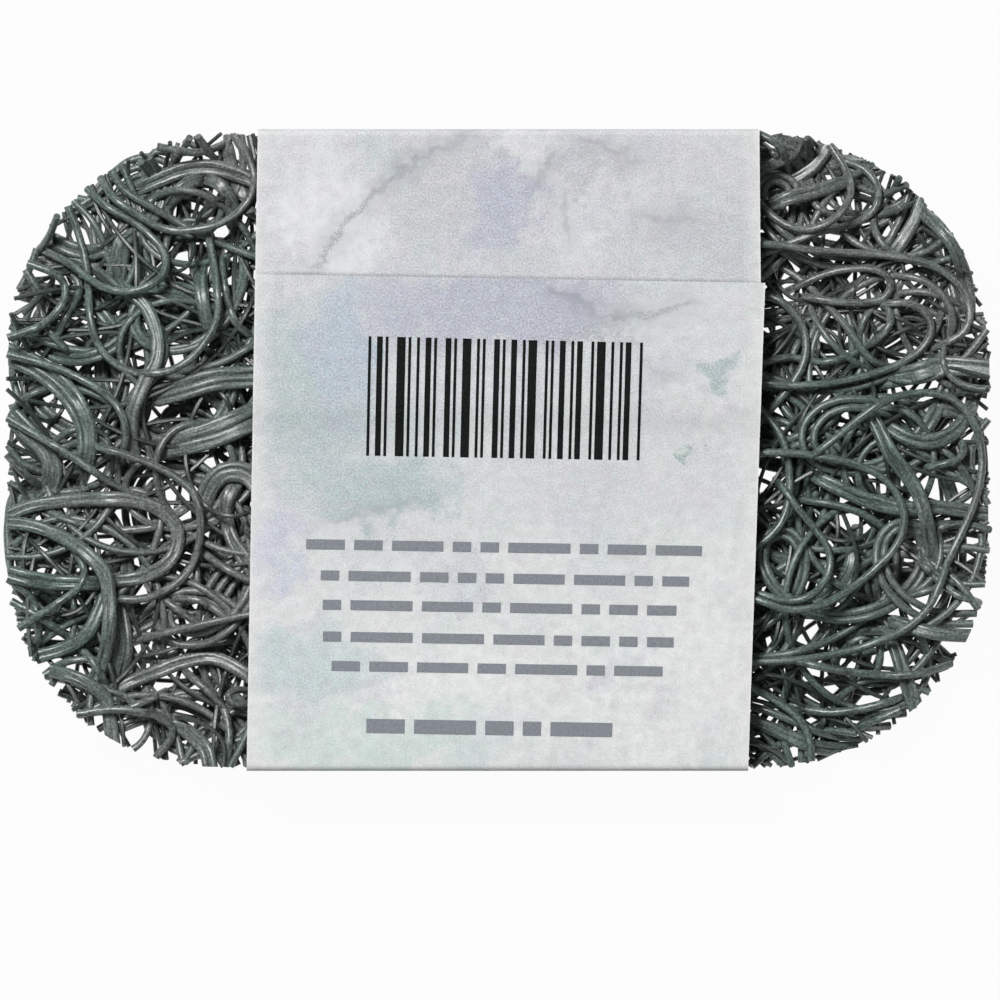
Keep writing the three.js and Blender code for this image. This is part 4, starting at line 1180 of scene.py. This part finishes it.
# Worn side edges, and folds lightened partly by wear and partly as a painted highlight.
wear_and_highlight_share = add_node(tree, "ShaderNodeAttribute", {"attribute_name": "wear_and_highlight"}).outputs["Fac"]
lightened_edges_and_folds = mixed(tree, wear_and_highlight_share, grained, colour("eeeeed"))
finish_surface(tree, shader, lightened_edges_and_folds, fibre, 0.15, 0.85, 0.25)


# %% Plain materials with a fine mottle
def mottled(name, deep, pale, scale, roughness, specular):
    material, tree, shader = new_material(name)
    place = add_node(tree, "ShaderNodeTexCoord").outputs["Object"]
    mottle = noise_at(tree, place, scale, 3.0, 0.7)
    tone = mixed(tree, ranged(tree, mottle, 0.35, 0.65), colour(deep), colour(pale))
    finish_surface(tree, shader, tone, mottle, 0.15, roughness, specular)
    return material


white_paper = mottled("white paper core", "e0e0de", "f0f0ef", 2600.0, 0.9, 0.2)

# %% [markdown]
# The paper's thickness
# ---------------------
# So far the strip is a single layer, which is easy to wrap. A Solidify modifier gives it an inner face
# and cut edges, and they get the white core. It comes after the wrapping, so that both faces follow
# each swell of the paper.

# %% Give the paper its thickness
mesh.materials.append(washed_paper)
mesh.materials.append(white_paper)
thickness = sleeve.modifiers.new("paper", "SOLIDIFY")
thickness.thickness = PAPER_THICKNESS * MM
thickness.offset = 1
thickness.use_even_offset = True
thickness.material_offset = 1
thickness.material_offset_rim = 1
bpy.context.view_layer.objects.active = sleeve
bpy.ops.object.modifier_apply(modifier="paper")
bpy.ops.object.shade_smooth_by_angle(angle=math.radians(40))
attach(sleeve, "sleeve")
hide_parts("paper_sleeve")
print("sleeve box in mm", [round(v / MM, 2) for v in sleeve.dimensions])

# %% [markdown]
# Printed marks
# -------------
# The print is plain: a block of bars and rows of word-length dashes, with nothing to read. Printing ink
# has no thickness to speak of, but fine lines stay sharp when they are real shapes, so each mark is a
# thin leaf of ink. It starts flat on the strip and is wrapped by the same function as the paper. The
# rows run one degree askew of the strip's edge. Ink sinks into paper unevenly, so it is mottled.

# %% Ink leaves on the strip
INK_LIFT = 0.035
INK_THICKNESS = 0.01
PRINT_TILT = math.radians(1.0)
LEAF_STEP_X = 1.5
LEAF_STEP_Y = 0.5


def ink_marks(name, marks, material):
    lift = PAPER_THICKNESS + INK_LIFT + INK_THICKNESS
    drawing = bmesh.new()
    for x0, x1, y0, y1 in marks:
        across = max(1, round((x1 - x0) / LEAF_STEP_X))
        up = max(1, round((y1 - y0) / LEAF_STEP_Y))
        grid = []
        for i in range(across + 1):
            x = x0 + (x1 - x0) * i / across
            tilted = [strip_length_at(y0 + (y1 - y0) * j / up - PRINT_TILT * x) for j in range(up + 1)]
            grid.append([drawing.verts.new(wrapped(x, length, lift) * MM) for length in tilted])
        for i in range(across):
            for j in range(up):
                drawing.faces.new((grid[i][j], grid[i + 1][j], grid[i + 1][j + 1], grid[i][j + 1]))
    ink_mesh = bpy.data.meshes.new(name)
    drawing.to_mesh(ink_mesh)
    drawing.free()
    piece = active_piece(name, ink_mesh)
    body = piece.modifiers.new("leaf", "SOLIDIFY")
    body.thickness = INK_THICKNESS * MM
    body.offset = -1
    bpy.ops.object.modifier_apply(modifier="leaf")
    ink_mesh.materials.append(material)
    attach(piece, "sleeve")


dark_ink = mottled("dark printing ink", "0b0e0d", "1b1f1e", 3600.0, 0.7, 0.1)
grey_ink = mottled("grey printing ink", "7c8188", "91969d", 3600.0, 0.7, 0.25)

# %% A block of plain bars
BAR_UNIT = 0.337
BAR_TOP = 13.2
BAR_BOTTOM = -1.0
FIRST_BAR = -16.5
LAST_BAR = 16.0
BARS_END = 16.2
BAR_WIDTHS = (1, 2, 1, 3, 1, 1, 2)
BAR_GAPS = (2, 1, 3, 1, 2)
bars = []
x = FIRST_BAR
while x < LAST_BAR:
    wide = BAR_WIDTHS[len(bars) % len(BAR_WIDTHS)]
    gap = BAR_GAPS[len(bars) % len(BAR_GAPS)]
    bars.append((x, min(x + wide * BAR_UNIT, BARS_END), BAR_BOTTOM, BAR_TOP))
    x += (wide + gap) * BAR_UNIT
ink_marks("printed_bars", bars, dark_ink)
print(len(bars), "bars")

# %% Rows of word-length dashes
WORD_LENGTHS = (2.2, 3.4, 4.6, 6.1, 7.4)
WORD_SPACE = 1.1
SHORTEST_REST = 1.5
rows_of_words = [
    (-11.7, -23.4, 23.6, 1.2),
    (-15.4, -21.6, 22.2, 1.2),
    (-18.9, -21.3, 20.8, 1.2),
    (-22.7, -21.2, 20.6, 1.2),
    (-26.2, -20.1, 19.4, 1.2),
    (-33.3, -15.8, 14.5, 1.7),
]
chance = random.Random(7)
dashes = []
for y, left, right, tall in rows_of_words:
    x = left
    while x < right - SHORTEST_REST:
        end = min(x + chance.choice(WORD_LENGTHS), right)
        dashes.append((x, end, y - tall / 2, y + tall / 2))
        x = end + WORD_SPACE
ink_marks("printed_word_rows", dashes, grey_ink)
print(len(dashes), "dashes")

# %% [markdown]
# The glue line
# -------------
# A thin line of paper glue holds the two flaps together. It lies hidden between them, so the solid stays
# as it is and only gets the colour of dried glue.

# %% Glue
glue = mottled("dried paper glue", "dcd6c3", "ece9de", 700.0, 0.4, 0.5)
glue_line = nodes["glue_line"]
glue_line.data.materials.clear()
glue_line.data.materials.append(glue)
